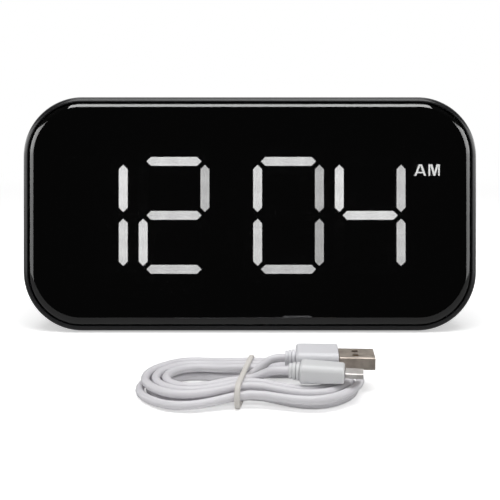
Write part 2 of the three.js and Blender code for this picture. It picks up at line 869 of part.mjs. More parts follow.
function socketShell() {
  const from = controlBack + fitGap;
  const to = clockDepth - inletDeep - fitGap / 2;
  const tube = solid(loft([
    connectorRing(inletX, inletZ, socketWidth, socketHeight, socketSlope, from),
    connectorRing(inletX, inletZ, socketWidth, socketHeight, socketSlope, to),
  ]));
  return cut(tube, loft([
    connectorRing(inletX, inletZ, socketWidth - 2 * socketWall, socketHeight - 2 * socketWall, socketSlope, from + socketWall),
    connectorRing(inletX, inletZ, socketWidth - 2 * socketWall, socketHeight - 2 * socketWall, socketSlope, to + overrun),
  ]));
}

function socketTongue() {
  const from = controlBack + fitGap + socketWall + fitGap;
  const to = clockDepth - inletDeep - fitGap - socketWall;
  const room = 2 * (socketWall + fitGap);
  const base = solid(loft([
    connectorRing(inletX, inletZ, socketWidth - room, socketHeight - room, socketSlope, from),
    connectorRing(inletX, inletZ, socketWidth - room, socketHeight - room, socketSlope, from + socketBase),
  ]));
  const half = tongueWidth / 2;
  const tongue = block(inletX - half, inletX + half, from + socketBase / 2, to, inletZ - tongueThick / 2, inletZ + tongueThick / 2);
  return join(base, tongue);
}

function buzzer() {
  const from = controlBack + fitGap;
  const to = backInside - fitGap;
  const edge = buzzerHole / 2;
  const profile = [
    [0, from],
    [buzzerRadius, from],
    [buzzerRadius, to - edge],
    [buzzerRadius - edge, to],
    [buzzerHole, to],
    [buzzerHole, to - buzzerHoleDeep],
    [0, to - buzzerHoleDeep],
  ];
  return turned(profile, roundSides).translate(buzzerX, 0, buzzerZ);
}

// Battery door: a plate flush with the back, with two tabs, a latch lug and finger grooves
function batteryDoor() {
  let door = solid(block(-doorHalf, doorHalf, doorInside, clockDepth, doorLow, doorHigh));
  const tabBack = backInside - fitGap;
  const tabFront = tabBack - tabThick;
  for (const sign of [-1, 1]) {
    const middle = sign * tabSpread / 2;
    const left = middle - tabWidth / 2;
    const right = middle + tabWidth / 2;
    door = join(
      door,
      block(left, right, tabFront, tabBack, doorLow - tabReach, doorLow + tabRoot),
      block(left, right, tabFront, doorInside + weld, doorLow + doorLap + fitGap, doorLow + tabRoot),
    );
  }
  const lugLow = doorHigh - doorLap - fitGap - tabThick;
  door = join(door, block(-tabWidth / 2, tabWidth / 2, tabFront, doorInside + weld, lugLow, lugLow + tabThick));
  for (let i = 0; i < gripCount; i += 1) {
    const z = doorHigh - gripPitch * (i + 1);
    const groove = block(-gripLong / 2, gripLong / 2, clockDepth - gripDeep, clockDepth + overrun, z - gripWide / 2, z + gripWide / 2);
    door = cut(door, groove);
  }
  return door;
}

// A tube through points whose rings stand square to the way; one corner of each ring points down
function tube(points, radius, sides) {
  const up = new THREE.Vector3(0, 0, 1);
  const rings = points.map((point, i) => {
    const next = points[Math.min(i + 1, points.length - 1)];
    const before = points[Math.max(i - 1, 0)];
    const along = next.clone().sub(before).normalize();
    const side = new THREE.Vector3().crossVectors(along, up).normalize();
    const rise = new THREE.Vector3().crossVectors(side, along);
    const ring = [];
    for (let k = 0; k < sides; k += 1) {
      const angle = (2 * Math.PI * k) / sides - Math.PI / 2;
      ring.push(point.clone().addScaledVector(side, radius * Math.cos(angle)).addScaledVector(rise, radius * Math.sin(angle)));
    }
    return ring;
  });
  return loft(rings);
}

// A battery coil: a cone of wire that winds out from its plate along +X
function coil() {
  const points = [];
  const count = coilTurns * coilSteps;
  for (let i = 0; i <= count; i += 1) {
    const share = i / count;
    const angle = 2 * Math.PI * coilTurns * share;
    const radius = coilWide + (coilNarrow - coilWide) * share;
    points.push(new THREE.Vector3(radius * Math.cos(angle), radius * Math.sin(angle), coilWire / 2 + coilLong * share));
  }
  return tube(points, coilWire, coilSides).rotateY(Math.PI / 2);
}

// One battery contact: a plate over some cells, a coil for a minus end and a bump for a plus end
function contact(cells, coilCell, bumpCell) {
  const heights = cells.map((cell) => bayCentre + (cell - (cellCount - 1) / 2) * cellPitch);
  const half = contactSide / 2;
  let plate = solid(block(0, contactThick, cellDepth - half, cellDepth + half, Math.min(...heights) - half, Math.max(...heights) + half));
  const heightOf = (cell) => bayCentre + (cell - (cellCount - 1) / 2) * cellPitch;
  if (coilCell !== null) {
    plate = join(plate, coil().translate(contactThick, cellDepth, heightOf(coilCell)));
  }
  if (bumpCell !== null) {
    const bump = new THREE.CylinderGeometry(contactBumpRadius / 2, contactBumpRadius, contactBump + weld, smallSides);
    bump.rotateZ(-Math.PI / 2).translate(contactThick + (contactBump - weld) / 2, cellDepth, heightOf(bumpCell));
    plate = join(plate, bump);
  }
  return geometryOf(plate);
}

// Flat cable from the display board to the control board: an S seen from the side
function ribbon() {
  const from = boardBack + fitGap;
  const to = controlDepth - fitGap;
  const half = ribbonThick / 2;
  const outline = new THREE.Shape([
    new THREE.Vector2(from, ribbonFrom + half),
    new THREE.Vector2(from, ribbonFrom - half),
    new THREE.Vector2(from + ribbonStraight - half, ribbonFrom - half),
    new THREE.Vector2(to - ribbonStraight - half, ribbonTo - half),
    new THREE.Vector2(to, ribbonTo - half),
    new THREE.Vector2(to, ribbonTo + half),
    new THREE.Vector2(to - ribbonStraight + half, ribbonTo + half),
    new THREE.Vector2(from + ribbonStraight + half, ribbonFrom + half),
  ]);
  const body = new THREE.ExtrudeGeometry(outline, { depth: ribbonWidth, bevelEnabled: false });
  body.applyMatrix4(new THREE.Matrix4().set(0, 0, 1, 0, 1, 0, 0, 0, 0, 1, 0, 0, 0, 0, 0, 1));
  return body.translate(-ribbonWidth / 2, 0, 0);
}

// Snooze bar: its top is the body's own skin, with a flange below and a leg to its switch
const plungerHigh = snoozeSwitchLow + plungerTop;
function snoozeBar() {
  const under = clockHeight - (snoozeDepth + snoozeWidth / 2) * topSlope - wall - fitGap;
  const flangeLow = under - snoozeFlangeTall;
  const cap = solid(snoozePrism(0, under - weld, clockHeight + overrun)).intersect(solid(outerFront()));
  const leg = block(
    -snoozeLegLong / 2,
    snoozeLegLong / 2,
    snoozeDepth - snoozeLegWide / 2,
    snoozeDepth + snoozeLegWide / 2,
    plungerHigh + fitGap,
    flangeLow + weld,
  );
  return join(cap, snoozePrism(snoozeFlange, flangeLow, under), leg);
}

// Foot: a low rubber disc with a chamfered tread
function foot() {
  const top = footProud + footSunk - fitGap;
  const profile = [[0, 0], [footRadius - footEdge, 0], [footRadius, footEdge], [footRadius, top], [0, top]];
  return turned(profile, roundSides).rotateX(Math.PI / 2);
}

// The clock
const digitalAlarmClock = new THREE.Group();
const body = new THREE.Group();
const leaning = new THREE.Group();
leaning.rotation.x = -radians(leanDegrees);
leaning.position.z = footProud;
body.add(leaning);
digitalAlarmClock.add(body);

piece('front_housing', frontHousing(), looks.housing, leaning);
piece('front_lens', frontLens(), looks.lens, leaning);
piece('window_mask', windowMask(), looks.mask, leaning);
piece('segment_diffuser', segmentDiffuser(), looks.diffuser, leaning);
piece('light_box', lightBox(), looks.reflector, leaning);
piece('display_board', displayBoard(), looks.board, leaning);
piece('rear_cover', rearCover(), looks.cover, leaning);
piece('control_board', controlBoard(), looks.board, leaning);
postPlaces.forEach(([x, z], i) => {
  piece(`display_screw_${i + 1}`, placed(screw(screwBite), x, boardBack + fitGap, z), looks.steel, leaning);
});
bossPlaces.forEach(([x, z], i) => {
  piece(`cover_screw_${i + 1}`, placed(screw(boreTop - splitDepth + screwBite / 2), x, boreTop + fitGap, z), looks.steel, leaning);
});
controlPosts.forEach(([x, z], i) => {
  const shape = geometryOf(screw(controlBite)).rotateX(Math.PI).translate(x, controlDepth - fitGap, z);
  piece(`control_screw_${i + 1}`, shape, looks.steel, leaning);
});

const keyNames = ['set', 'alarm', 'up', 'down'];
keyPlaces.forEach(([x, z], i) => {
  const base = controlBack + fitGap;
  piece(`${keyNames[i]}_key`, placed(rearKey(), x, 0, z), looks.key, leaning);
  piece(`${keyNames[i]}_switch`, placed(tactSwitch(switchTall - boreDeep), x, base, z), looks.black, leaning);
  piece(`${keyNames[i]}_plunger`, plunger(plungerTall).translate(x, base + plungerFoot, z), looks.key, leaning);
});

const standing = (geometry) => geometry.rotateX(Math.PI / 2).translate(0, snoozeDepth, snoozeSwitchLow);
piece('snooze_bar', snoozeBar(), looks.housing, leaning);
piece('snooze_switch', standing(geometryOf(tactSwitch(switchTall - boreDeep))), looks.black, leaning);
piece('snooze_plunger', standing(plunger(plungerTall).translate(0, plungerFoot, 0)), looks.key, leaning);

piece('power_socket', socketShell(), looks.steel, leaning);
piece('power_socket_tongue', socketTongue(), looks.black, leaning);
piece('buzzer', buzzer(), looks.black, leaning);
piece('battery_door', batteryDoor(), looks.cover, leaning);
piece('ribbon_cable', ribbon(), looks.ribbon, leaning);

// The contacts chain the cells: minus end, two links and plus end
const contactAt = fitGap - bayLength / 2;
const fromLeft = (geometry) => geometry.translate(contactAt, 0, 0);
const fromRight = (geometry) => geometry.rotateZ(Math.PI).translate(-contactAt, 2 * cellDepth, 0);
piece('battery_contact_minus', fromLeft(contact([0], 0, null)), looks.brass, leaning);
piece('battery_contact_link_1', fromRight(contact([0, 1], 1, 0)), looks.brass, leaning);
piece('battery_contact_link_2', fromLeft(contact([1, 2], 2, 1)), looks.brass, leaning);
piece('battery_contact_plus', fromRight(contact([2], null, 2)), looks.brass, leaning);

const lean = radians(leanDegrees);
[[-1, footFrontDepth], [1, footFrontDepth], [-1, footRearDepth], [1, footRearDepth]].forEach(([sign, depth], i) => {
  piece(`foot_${i + 1}`, foot().translate(sign * footX, depth / Math.cos(lean), 0), looks.rubber, body);
});

// The clock's box is centred over the origin
body.updateMatrixWorld(true);
const clockBox = new THREE.Box3().setFromObject(body, true);
body.position.y = -(clockBox.min.y + clockBox.max.y) / 2;

// The hank: the cord winds out in one layer, climbs along a run, and winds in again on top.
// Its loops are drawn in at the waist, where the tie holds them.
function hankPoint(turn) {
  const away = Math.abs(turn - hankReverse);
  const halfLength = hankHalfLength - strandPitch * away;
  const halfWidth = hankHalfWidth - strandPitch * away;
  const waist = waistHalfWidth - waistStep * away;
  const angle = 2 * Math.PI * turn + Math.PI / 2;
  const x = halfLength * Math.cos(angle);
  const near = Math.max(0, 1 - Math.abs(x) / waistReach);
  const drawn = Math.sin((Math.PI / 2) * near) ** 2;
  const y = Math.sin(angle) * (halfWidth - (halfWidth - waist) * drawn);
  const climb = THREE.MathUtils.smoothstep(turn, hankReverse - climbTurns / 2, hankReverse + climbTurns / 2);
  return new THREE.Vector3(x, y, cordRadius + cordLayer * climb + tieLift * Math.exp(-((x / tieSpread) ** 2)));
}

// The hank's points, with one cord diameter of straight run at each end
function hankRoute(steps) {
  const count = Math.round((hankTurns - hankStart) * steps);
  const points = [];
  for (let i = 0; i <= count; i += 1) {
    points.push(hankPoint(hankStart + ((hankTurns - hankStart) * i) / count));
  }
  const early = hankPoint(hankStart).sub(hankPoint(hankStart + climbTurns / loopSteps)).setLength(cordDiameter);
  const late = hankPoint(hankTurns).sub(hankPoint(hankTurns - climbTurns / loopSteps)).setLength(cordDiameter);
  return [points[0].clone().add(early), ...points, points[count].clone().add(late)];
}

function leastGap(points, diameter) {
  const travelled = [0];
  for (let i = 1; i < points.length; i += 1) {
    travelled.push(travelled[i - 1] + points[i].distanceTo(points[i - 1]));
  }
  let least = Infinity;
  for (let i = 0; i < points.length; i += 1) {
    for (let j = i + 1; j < points.length; j += 1) {
      if (travelled[j] - travelled[i] > Math.PI * diameter) {
        least = Math.min(least, points[i].distanceTo(points[j]) - diameter);
      }
    }
  }
  return { least, length: travelled[points.length - 1] };
}

const hankPoints = hankRoute(loopSteps);
const measured = leastGap(hankRoute(loopSteps * 8), cordDiameter);
console.log('least gap of the hank to itself', measured.least.toFixed(2), 'mm');
console.log('length of cord in the hank', measured.length.toFixed(0), 'mm');

// The leads from the hank to the plugs, by points chosen along each
const plugRest = 2 * cordRadius + cordLayer + fitGap;
const plugStart = new THREE.Vector3(12.5, 5, plugRest + plugGripThick / 2);
const tipStart = new THREE.Vector3(13.4, -8.5, plugRest + tipGripThick / 2);
const plugLead = [[-1.4, 5.1, 3.1], [1.9, 3.6, 5.9], [7.3, 4.8, 9.9]];
const tipLead = [[-2.2, -5.2, 5.9], [1.5, -5.3, 6.7], [7.5, -7, 9.6]];

function aimed(start, degrees, distance) {
  const angle = radians(degrees);
  return new THREE.Vector3(start.x - distance * Math.cos(angle), start.y - distance * Math.sin(angle), start.z);
}

function leadRoute(end, before, middle, start, degrees) {
  const away = end.clone().sub(before).setLength(fitGap);
  const straight = end.clone().sub(before).setLength(cordRadius);
  return [
    end.clone().add(away),
    end.clone().add(away).add(straight),
    ...middle.map((point) => new THREE.Vector3(...point)),
    aimed(start, degrees, fitGap + cordRadius),
    aimed(start, degrees, fitGap),
  ];
}

function leadTube(route) {
  const way = new THREE.CatmullRomCurve3(route, false, 'centripetal');
  const section = new THREE.Shape().absarc(0, 0, cordRadius, 0, 2 * Math.PI);
  return new THREE.ExtrudeGeometry(section, { steps: leadSteps, extrudePath: way, curveSegments: leadSides });
}

const hankEnd = hankPoints.length - 1;
const plugRoute = leadRoute(hankPoints[0], hankPoints[1], plugLead, plugStart, plugTurnDegrees);
const tipRoute = leadRoute(hankPoints[hankEnd], hankPoints[hankEnd - 1], tipLead, tipStart, tipTurnDegrees);

// The tie: a flat loop of plastic round the waist
function cordTie() {
  const half = waistHalfWidth - waistStep / 4 + cordRadius + tieRoom;
  const high = tieLift + 2 * cordRadius + cordLayer + fitGap;
  const hole = around(0, (tieThick + high) / 2, 2 * half, high - tieThick, tieCorner);
  const outer = grown(hole, tieThick);
  outer.radius = tieCorner + tieThick;
  const loop = cut(
    solid(roundedPlate(outer, -tieWide / 2, tieWide / 2)),
    roundedPlate(hole, -tieWide / 2 - overrun, tieWide / 2 + overrun),
  );
  return geometryOf(loop).rotateZ(Math.PI / 2 - radians(tieTurnDegrees)).translate(-tieLeft, -waistStep / 4, 0);
}

// Plugs are drawn along +X from the back of their collars
function boxRing(x, wide, thick, radius) {
  return roundedRing(around(0, 0, wide, thick, radius), x);
}

function alongX(geometry) {
  return geometry.rotateZ(-Math.PI / 2);
}

// Ribbed strain relief that widens towards the grip
function collar() {
  const step = collarLong / (2 * collarRings);
  const rings = [];
  for (let i = 0; i < 2 * collarRings; i += 1) {
    const share = i / (2 * collarRings - 1);
    const wide = collarNarrow + (collarWide - collarNarrow) * share - (i % 2 ? 0 : collarGroove);
    const tall = Math.min(wide, collarTall);
    for (const x of [step * i, step * (i + 1) - collarEdge]) {
      rings.push(boxRing(x, wide, tall, tall / 2 - collarEdge));
    }
  }
  rings.push(boxRing(collarLong + weld, collarWide, collarTall, collarTall / 2 - collarEdge));
  return loft(rings);
}

function plugGrip() {
  const from = collarLong;
  const to = collarLong + plugGripLong;
  const edge = plugGripEdge / 2;
  const grip = loft([
    boxRing(from, plugGripWide - plugGripEdge, plugGripThick - plugGripEdge, plugGripEdge),
    boxRing(from + edge, plugGripWide, plugGripThick, plugGripEdge),
    boxRing(to - edge, plugGripWide, plugGripThick, plugGripEdge),
    boxRing(to, plugGripWide - plugGripEdge, plugGripThick - plugGripEdge, plugGripEdge),
  ]);
  return alongX(geometryOf(join(solid(grip), collar())));
}

function plugShell() {
  const from = collarLong + plugGripLong + fitGap;
  const to = from + plugShellLong;
  const inner = [plugShellWide - 2 * plugShellWall, plugShellThick - 2 * plugShellWall, plugShellWall];
  let shell = cut(
    solid(loft([boxRing(from, plugShellWide, plugShellThick, 2 * plugShellWall), boxRing(to, plugShellWide, plugShellThick, 2 * plugShellWall)])),
    loft([boxRing(from + plugShellBack, ...inner), boxRing(to + overrun, ...inner)]),
  );
  for (const sign of [-1, 1]) {
    const half = plugHoleSide / 2;
    const middle = sign * plugHoleSpread / 2;
    const end = to - plugHoleFromEnd;
    shell = cut(shell, block(middle - half, middle + half, end - plugHoleSide, end, 0, plugShellThick));
  }
  return alongX(geometryOf(shell));
}

function plugCore() {
  const from = collarLong + plugGripLong + fitGap + plugShellBack + fitGap;
  const to = from - fitGap + plugShellLong - plugShellBack - fitGap;
  const half = plugShellWide / 2 - plugShellWall - fitGap;
  const low = plugShellWall + fitGap - plugShellThick / 2;
  return alongX(block(-half, half, from, to, low, low + plugCoreThick));
}

function tipGrip() {
  const from = collarLong;
  const to = collarLong + tipGripLong;
  const edge = tipGripEdge / 2;
  const small = [tipGripWide * tipGripShare, tipGripThick * tipGripShare, tipGripEdge];
  const grip = loft([
    boxRing(from, tipGripWide - tipGripEdge, tipGripThick - tipGripEdge, tipGripEdge),
    boxRing(from + edge, tipGripWide, tipGripThick, tipGripEdge),
    boxRing(to - edge, ...small),
    boxRing(to, small[0] - tipGripEdge, small[1] - tipGripEdge, tipGripEdge),
  ]);
  return alongX(geometryOf(join(solid(grip), collar())));
}

function tipShell() {
  const from = collarLong + tipGripLong + fitGap;
  const to = from + tipShellLong;
  const inner = [tipShellWide - 2 * tipShellWall, tipShellThick - 2 * tipShellWall, tipShellSlope];
  const shell = cut(
    solid(loft([
      connectorRing(0, 0, tipShellWide, tipShellThick, tipShellSlope, from),
      connectorRing(0, 0, tipShellWide, tipShellThick, tipShellSlope, to),
    ])),
    loft([connectorRing(0, 0, ...inner, from + tipShellBack), connectorRing(0, 0, ...inner, to + overrun)]),
  );
  return alongX(geometryOf(shell));
}

// The lead lies in front of the clock
const lead = new THREE.Group();
lead.position.y = body.position.y - hankAhead;
digitalAlarmClock.add(lead);
piece('cable_hank', tube(hankPoints, cordRadius, loopSides), looks.cord, lead);
piece('cable_lead_plug', leadTube(plugRoute), looks.cord, lead);
piece('cable_lead_tip', leadTube(tipRoute), looks.cord, lead);
piece('cable_tie', cordTie(), looks.tie, lead);

const plug = new THREE.Group();
plug.position.copy(plugStart);
plug.rotation.z = radians(plugTurnDegrees);
lead.add(plug);
piece('plug_grip', plugGrip(), looks.grip, plug);
piece('plug_shell', plugShell(), looks.nickel, plug);
piece('plug_core', plugCore(), looks.grip, plug);

const tip = new THREE.Group();
tip.position.copy(tipStart);
tip.rotation.z = radians(tipTurnDegrees);
lead.add(tip);
piece('tip_grip', tipGrip(), looks.grip, tip);
piece('tip_shell', tipShell(), looks.steel, tip);

export default digitalAlarmClock;
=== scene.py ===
# Digital alarm clock with its charging cable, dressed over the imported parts.
import json
import math
from functools import partial

import bmesh
import bpy
from mathutils import Matrix, Vector


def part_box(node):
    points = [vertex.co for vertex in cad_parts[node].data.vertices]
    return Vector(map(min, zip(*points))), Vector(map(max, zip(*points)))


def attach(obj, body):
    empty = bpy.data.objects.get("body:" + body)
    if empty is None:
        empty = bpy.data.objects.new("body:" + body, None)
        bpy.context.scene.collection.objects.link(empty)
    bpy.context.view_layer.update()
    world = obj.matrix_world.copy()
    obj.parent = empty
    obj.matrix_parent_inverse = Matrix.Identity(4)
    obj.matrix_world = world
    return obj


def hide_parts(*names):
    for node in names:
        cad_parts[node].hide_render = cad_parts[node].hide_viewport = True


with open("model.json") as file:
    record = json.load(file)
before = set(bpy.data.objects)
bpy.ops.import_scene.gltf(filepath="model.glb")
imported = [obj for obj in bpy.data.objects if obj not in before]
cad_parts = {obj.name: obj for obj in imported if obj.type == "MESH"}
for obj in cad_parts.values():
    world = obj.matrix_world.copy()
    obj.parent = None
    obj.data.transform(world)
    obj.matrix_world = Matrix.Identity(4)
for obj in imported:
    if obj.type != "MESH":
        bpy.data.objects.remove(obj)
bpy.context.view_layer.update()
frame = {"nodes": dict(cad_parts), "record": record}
nodes = frame["nodes"]
mm = 0.001
xAxis, yAxis, zAxis = range(3)
print("frame loaded:", len(nodes), "nodes")


def moved(x, y, z):
    return Matrix.Translation(Vector((x, y, z)) * mm)


def turned(degrees, axis):
    return Matrix.Rotation(math.radians(degrees), 4, axis)


def addObject(name, data):
    made = bpy.data.objects.new(name, data)
    bpy.context.collection.objects.link(made)
    return made


# The clock's pieces are drawn square to its face, in millimetres: x to the right, y back from
# the lens, z up the face. settle leans them back and stands them on the feet.
clock = {
    "width": 200, "height": 103.7, "depth": 38, "corner": 26, "cornerSteps": 24, "lean": 10,
    "sideTaper": 6, "topTaper": 4, "split": 21, "wall": 2.2, "fit": 0.3,
}
feet = {
    "side": 66, "depths": (10, 28.6), "proud": 0.6, "radius": 4.5, "tall": 1.1, "seatRadius": 4.8,
    "seat": (-1, 0.8), "rim": 0.9, "slope": 0.25, "dish": 0.12, "outer": 4.4, "edge": (0.35, 4),
    "degrees": 40,
}
leanAngle = math.radians(clock["lean"])
leanSlope = math.tan(leanAngle)
sideSlope = math.tan(math.radians(clock["sideTaper"]))
topSlope = math.tan(math.radians(clock["topTaper"]))
footLow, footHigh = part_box("foot_1")
clockY = (footLow.y + footHigh.y) / 2 - feet["depths"][0] * mm / math.cos(leanAngle)
settle = Matrix.Translation((0, clockY, feet["proud"] * mm)) @ turned(-clock["lean"], "X")


# Camera: square to the face, as the photograph was taken
camera = {"away": 380, "right": 0.07, "up": 36.08, "lens": 62.61, "sensor": 36, "sees": (0.01, 20)}


def addCamera():
    data = bpy.data.cameras.new("camera")
    data.sensor_width = camera["sensor"]
    data.lens = camera["lens"]
    data.clip_start, data.clip_end = camera["sees"]
    eye = addObject("camera", data)
    eye.matrix_world = settle @ moved(camera["right"], -camera["away"], camera["up"]) @ turned(90, "X")
    bpy.context.scene.camera = eye
    bpy.context.scene.view_settings.view_transform = "Standard"


addCamera()


# Cable: one cord from plug to plug, wound into a hank on the table
cord = {
    "diameter": 3, "layer": 3.5, "pitch": 3.7, "halfLength": 39.5, "halfWidth": 28, "waist": 16.6,
    "waistStep": 3.85, "waistReach": 31, "turns": 5.44, "reverse": 2.5, "start": 0.06, "climb": 0.5,
    "lift": 1.3, "spread": 10,
    "ahead": 75,  # from the clock's own origin to its middle
    "gap": 0.3,
    "sunk": 0.6,  # how far its ends run into the collars
    "stepsInTurn": 48, "stepsInLead": 10, "sides": 5,
}
plugAt = {
    "start": (12.5, 5, 10.6), "turn": -3,
    "lead": [(-1.4, 5.1, 3.1), (1.9, 3.6, 5.9), (7.3, 4.8, 9.9)],
}
tipAt = {
    "start": (13.4, -8.5, 10.2), "turn": -8,
    "lead": [(-2.2, -5.2, 5.9), (1.5, -5.3, 6.7), (7.5, -7, 9.6)],
}
cablePlace = Matrix.Translation((0, clockY - cord["ahead"] * mm, 0))


def smoothStep(value, low, high):
    share = min(1, max(0, (value - low) / (high - low)))
    return share * share * (3 - 2 * share)


def hankPoint(turn):
    away = abs(turn - cord["reverse"])
    halfLength = cord["halfLength"] - cord["pitch"] * away
    halfWidth = cord["halfWidth"] - cord["pitch"] * away
    waist = cord["waist"] - cord["waistStep"] * away
    angle = 2 * math.pi * turn + math.pi / 2
    x = halfLength * math.cos(angle)
    near = max(0, 1 - abs(x) / cord["waistReach"])
    drawn = math.sin(math.pi / 2 * near) ** 2
    y = math.sin(angle) * (halfWidth - (halfWidth - waist) * drawn)
    halfClimb = cord["climb"] / 2
    climb = smoothStep(turn, cord["reverse"] - halfClimb, cord["reverse"] + halfClimb)
    lift = cord["lift"] * math.exp(-((x / cord["spread"]) ** 2))
    return Vector((x, y, cord["diameter"] / 2 + cord["layer"] * climb + lift))


def runOut(turn, step):
    end = hankPoint(turn)
    return end + (end - hankPoint(turn + step)).normalized() * cord["diameter"]


def hankRoute():
    start, turns, steps = cord["start"], cord["turns"], cord["stepsInTurn"]
    count = round((turns - start) * steps)
    points = [hankPoint(start + (turns - start) * i / count) for i in range(count + 1)]
    return [runOut(start, 1 / steps)] + points + [runOut(turns, -1 / steps)]


def aimed(plug, distance):
    angle = math.radians(plug["turn"])
    x, y, z = plug["start"]
    return Vector((x - distance * math.cos(angle), y - distance * math.sin(angle), z))


def leadRoute(end, before, plug):
    along = (end - before).normalized()
    gap, radius = cord["gap"], cord["diameter"] / 2
    out = end + along * gap
    middle = [Vector(point) for point in plug["lead"]]
    return [out, out + along * radius] + middle + [aimed(plug, gap + radius), aimed(plug, gap)]


def between(a, b, ta, tb, t):
    return a * ((tb - t) / (tb - ta)) + b * ((t - ta) / (tb - ta))


# A centripetal curve through the points, as in the solids
def throughPoints(points, steps):
    ends = [points[0] * 2 - points[1]] + points + [points[-1] * 2 - points[-2]]
    made = []
    for a, b, c, d in zip(ends, ends[1:], ends[2:], ends[3:]):
        ta = 0
        tb = ta + math.sqrt((b - a).length)
        tc = tb + math.sqrt((c - b).length)
        td = tc + math.sqrt((d - c).length)
        for i in range(steps):
            t = tb + (tc - tb) * i / steps
            bc = between(b, c, tb, tc, t)
            abc = between(between(a, b, ta, tb, t), bc, ta, tc, t)
            bcd = between(bc, between(c, d, tc, td, t), tb, td, t)
            made.append(between(abc, bcd, tb, tc, t))
    return made + [points[-1]]


def cordRoute():
    hank = hankRoute()
    toPlug = throughPoints(leadRoute(hank[0], hank[1], plugAt), cord["stepsInLead"])
    toTip = throughPoints(leadRoute(hank[-1], hank[-2], tipAt), cord["stepsInLead"])
    route = toPlug[::-1] + hank + toTip
    route = [aimed(plugAt, -cord["sunk"])] + route + [aimed(tipAt, -cord["sunk"])]
    return [cablePlace @ (point * mm) for point in route]


def addCord():
    data = bpy.data.curves.new("charging_cord", "CURVE")
    data.dimensions = "3D"
    points = cordRoute()
    spline = data.splines.new("POLY")
    spline.points.add(len(points) - 1)
    for place, point in zip(spline.points, points):
        place.co = (*point, 1)
    spline.use_smooth = True
    data.bevel_depth = cord["diameter"] / 2 * mm
    data.bevel_resolution = cord["sides"]
    data.use_fill_caps = True
    made = addObject("charging_cord", data)
    length = sum((b - a).length for a, b in zip(points, points[1:]))
    print("cord:", round(length / mm), "mm in", len(points), "points")
    return made, points[0], length


chargingCord, cordStart, cordLength = addCord()


# Modelling helpers: millimetres throughout, with edges and faces chosen by where they lie
rodSides = {
    "seat": 40, "post": 40, "tower": 40, "bore": 24, "board_post": 32, "counterbore": 48,
    "stem": 24, "foot_pattern": 56, "core": 32,
}
limits = {"near": 0.02, "short": 1e-7, "along": 0.999, "facing": 0.99, "sharp": 1, "weld": 0.002}


def clearChoice():
    bpy.ops.object.select_all(action="DESELECT")


def makeActive(piece):
    clearChoice()
    piece.select_set(True)
    bpy.context.view_layer.objects.active = piece


def rename(piece, name):
    piece.name = piece.data.name = name
    return piece


def startPiece(name):
    bpy.ops.object.transform_apply(location=True, rotation=True, scale=True)
    return rename(bpy.context.object, name)


def startCube(name, low, high):
    clearChoice()
    low, high = Vector(low) * mm, Vector(high) * mm
    bpy.ops.mesh.primitive_cube_add(size=1, location=(low + high) / 2, scale=high - low)
    return startPiece(name)


# A block centred on x
def startSlab(name, x, half, depths, heights):
    return startCube(name, (x - half, depths[0], heights[0]), (x + half, depths[1], heights[1]))


def startRod(name, radius, span, place, axis="Y"):
    clearChoice()
    middle = sum(span) / 2
    a, b = place
    spot = {"X": (middle, a, b), "Y": (a, middle, b), "Z": (a, b, middle)}[axis]
    turns = {"X": (0, math.pi / 2, 0), "Y": (math.pi / 2, 0, 0), "Z": (0, 0, 0)}
    bpy.ops.mesh.primitive_cylinder_add(
        vertices=rodSides[name],
        radius=radius * mm,
        depth=(span[1] - span[0]) * mm,
        location=Vector(spot) * mm,
        rotation=turns[axis],
    )
    return startPiece(name)


def edit(piece):
    makeActive(piece)
    bpy.ops.object.mode_set(mode="EDIT")


def done():
    bpy.ops.object.mode_set(mode="OBJECT")


def choose(kind, test):
    bpy.ops.mesh.select_mode(type=kind)
    bpy.ops.mesh.select_all(action="DESELECT")
    data = bpy.context.edit_object.data
    mesh = bmesh.from_edit_mesh(data)
    parts = {"VERT": mesh.verts, "EDGE": mesh.edges, "FACE": mesh.faces}[kind]
    for part in parts:
        if test(part):
            part.select_set(True)
    mesh.select_flush_mode()
    bmesh.update_edit_mesh(data)


# Faces that look up (1) or down (-1) an axis, all or those at one level
def chooseFacing(axis, way, level=None):
    def test(face):
        if face.normal[axis] * way <= limits["facing"]:
            return False
        return level is None or near(face.calc_center_median()[axis] / mm, level)

    choose("FACE", test)


def along(edge, axis):
    a, b = edge.verts
    step = b.co - a.co
    return step.length > limits["short"] and abs(step[axis]) > limits["along"] * step.length


def both(edge, test):
    return all(test(v.co / mm) for v in edge.verts)


def near(value, other):
    return abs(value - other) < limits["near"]


def sharp(edge):
    return len(edge.link_faces) == 2 and edge.calc_face_angle() > limits["sharp"]


def extrude(x=0, y=0):
    bpy.ops.mesh.extrude_region_move(TRANSFORM_OT_translate={"value": (x * mm, y * mm, 0)})


def inset(thickness, depth=0):
    bpy.ops.mesh.inset(thickness=thickness * mm, depth=depth * mm, use_even_offset=True)


def bevel(size, segments, profile=0.5):
    steps = {"segments": segments, "profile": profile, "clamp_overlap": True}
    bpy.ops.mesh.bevel(offset=size * mm, affect="EDGES", **steps)


def roundAlong(axis, size, segments):
    choose("EDGE", lambda e: along(e, axis))
    bevel(size, segments)


def roundPlane(axis, level, size, segments, profile=0.5):
    choose("EDGE", lambda e: both(e, lambda p: near(p[axis], level)))
    bevel(size, segments, profile)


# Rounds only the sharp edges in a plane, such as the rims of openings
def softenPlane(piece, axis, level, size):
    edit(piece)
    choose("EDGE", lambda e: both(e, lambda p: near(p[axis], level)) and sharp(e))
    bevel(size, 2)
    done()


def weld(distance=limits["weld"]):
    bpy.ops.mesh.select_all(action="SELECT")
    bpy.ops.mesh.remove_doubles(threshold=distance * mm)


# Joins the two open rims that deleted faces leave
def bridgeRims():
    bpy.ops.mesh.delete(type="FACE")
    choose("EDGE", lambda e: len(e.link_faces) == 1)
    bpy.ops.mesh.bridge_edge_loops()


def shift(test, x=0, z=0):
    choose("VERT", lambda v: test(v.co / mm))
    bpy.ops.transform.translate(value=(x * mm, 0, z * mm))


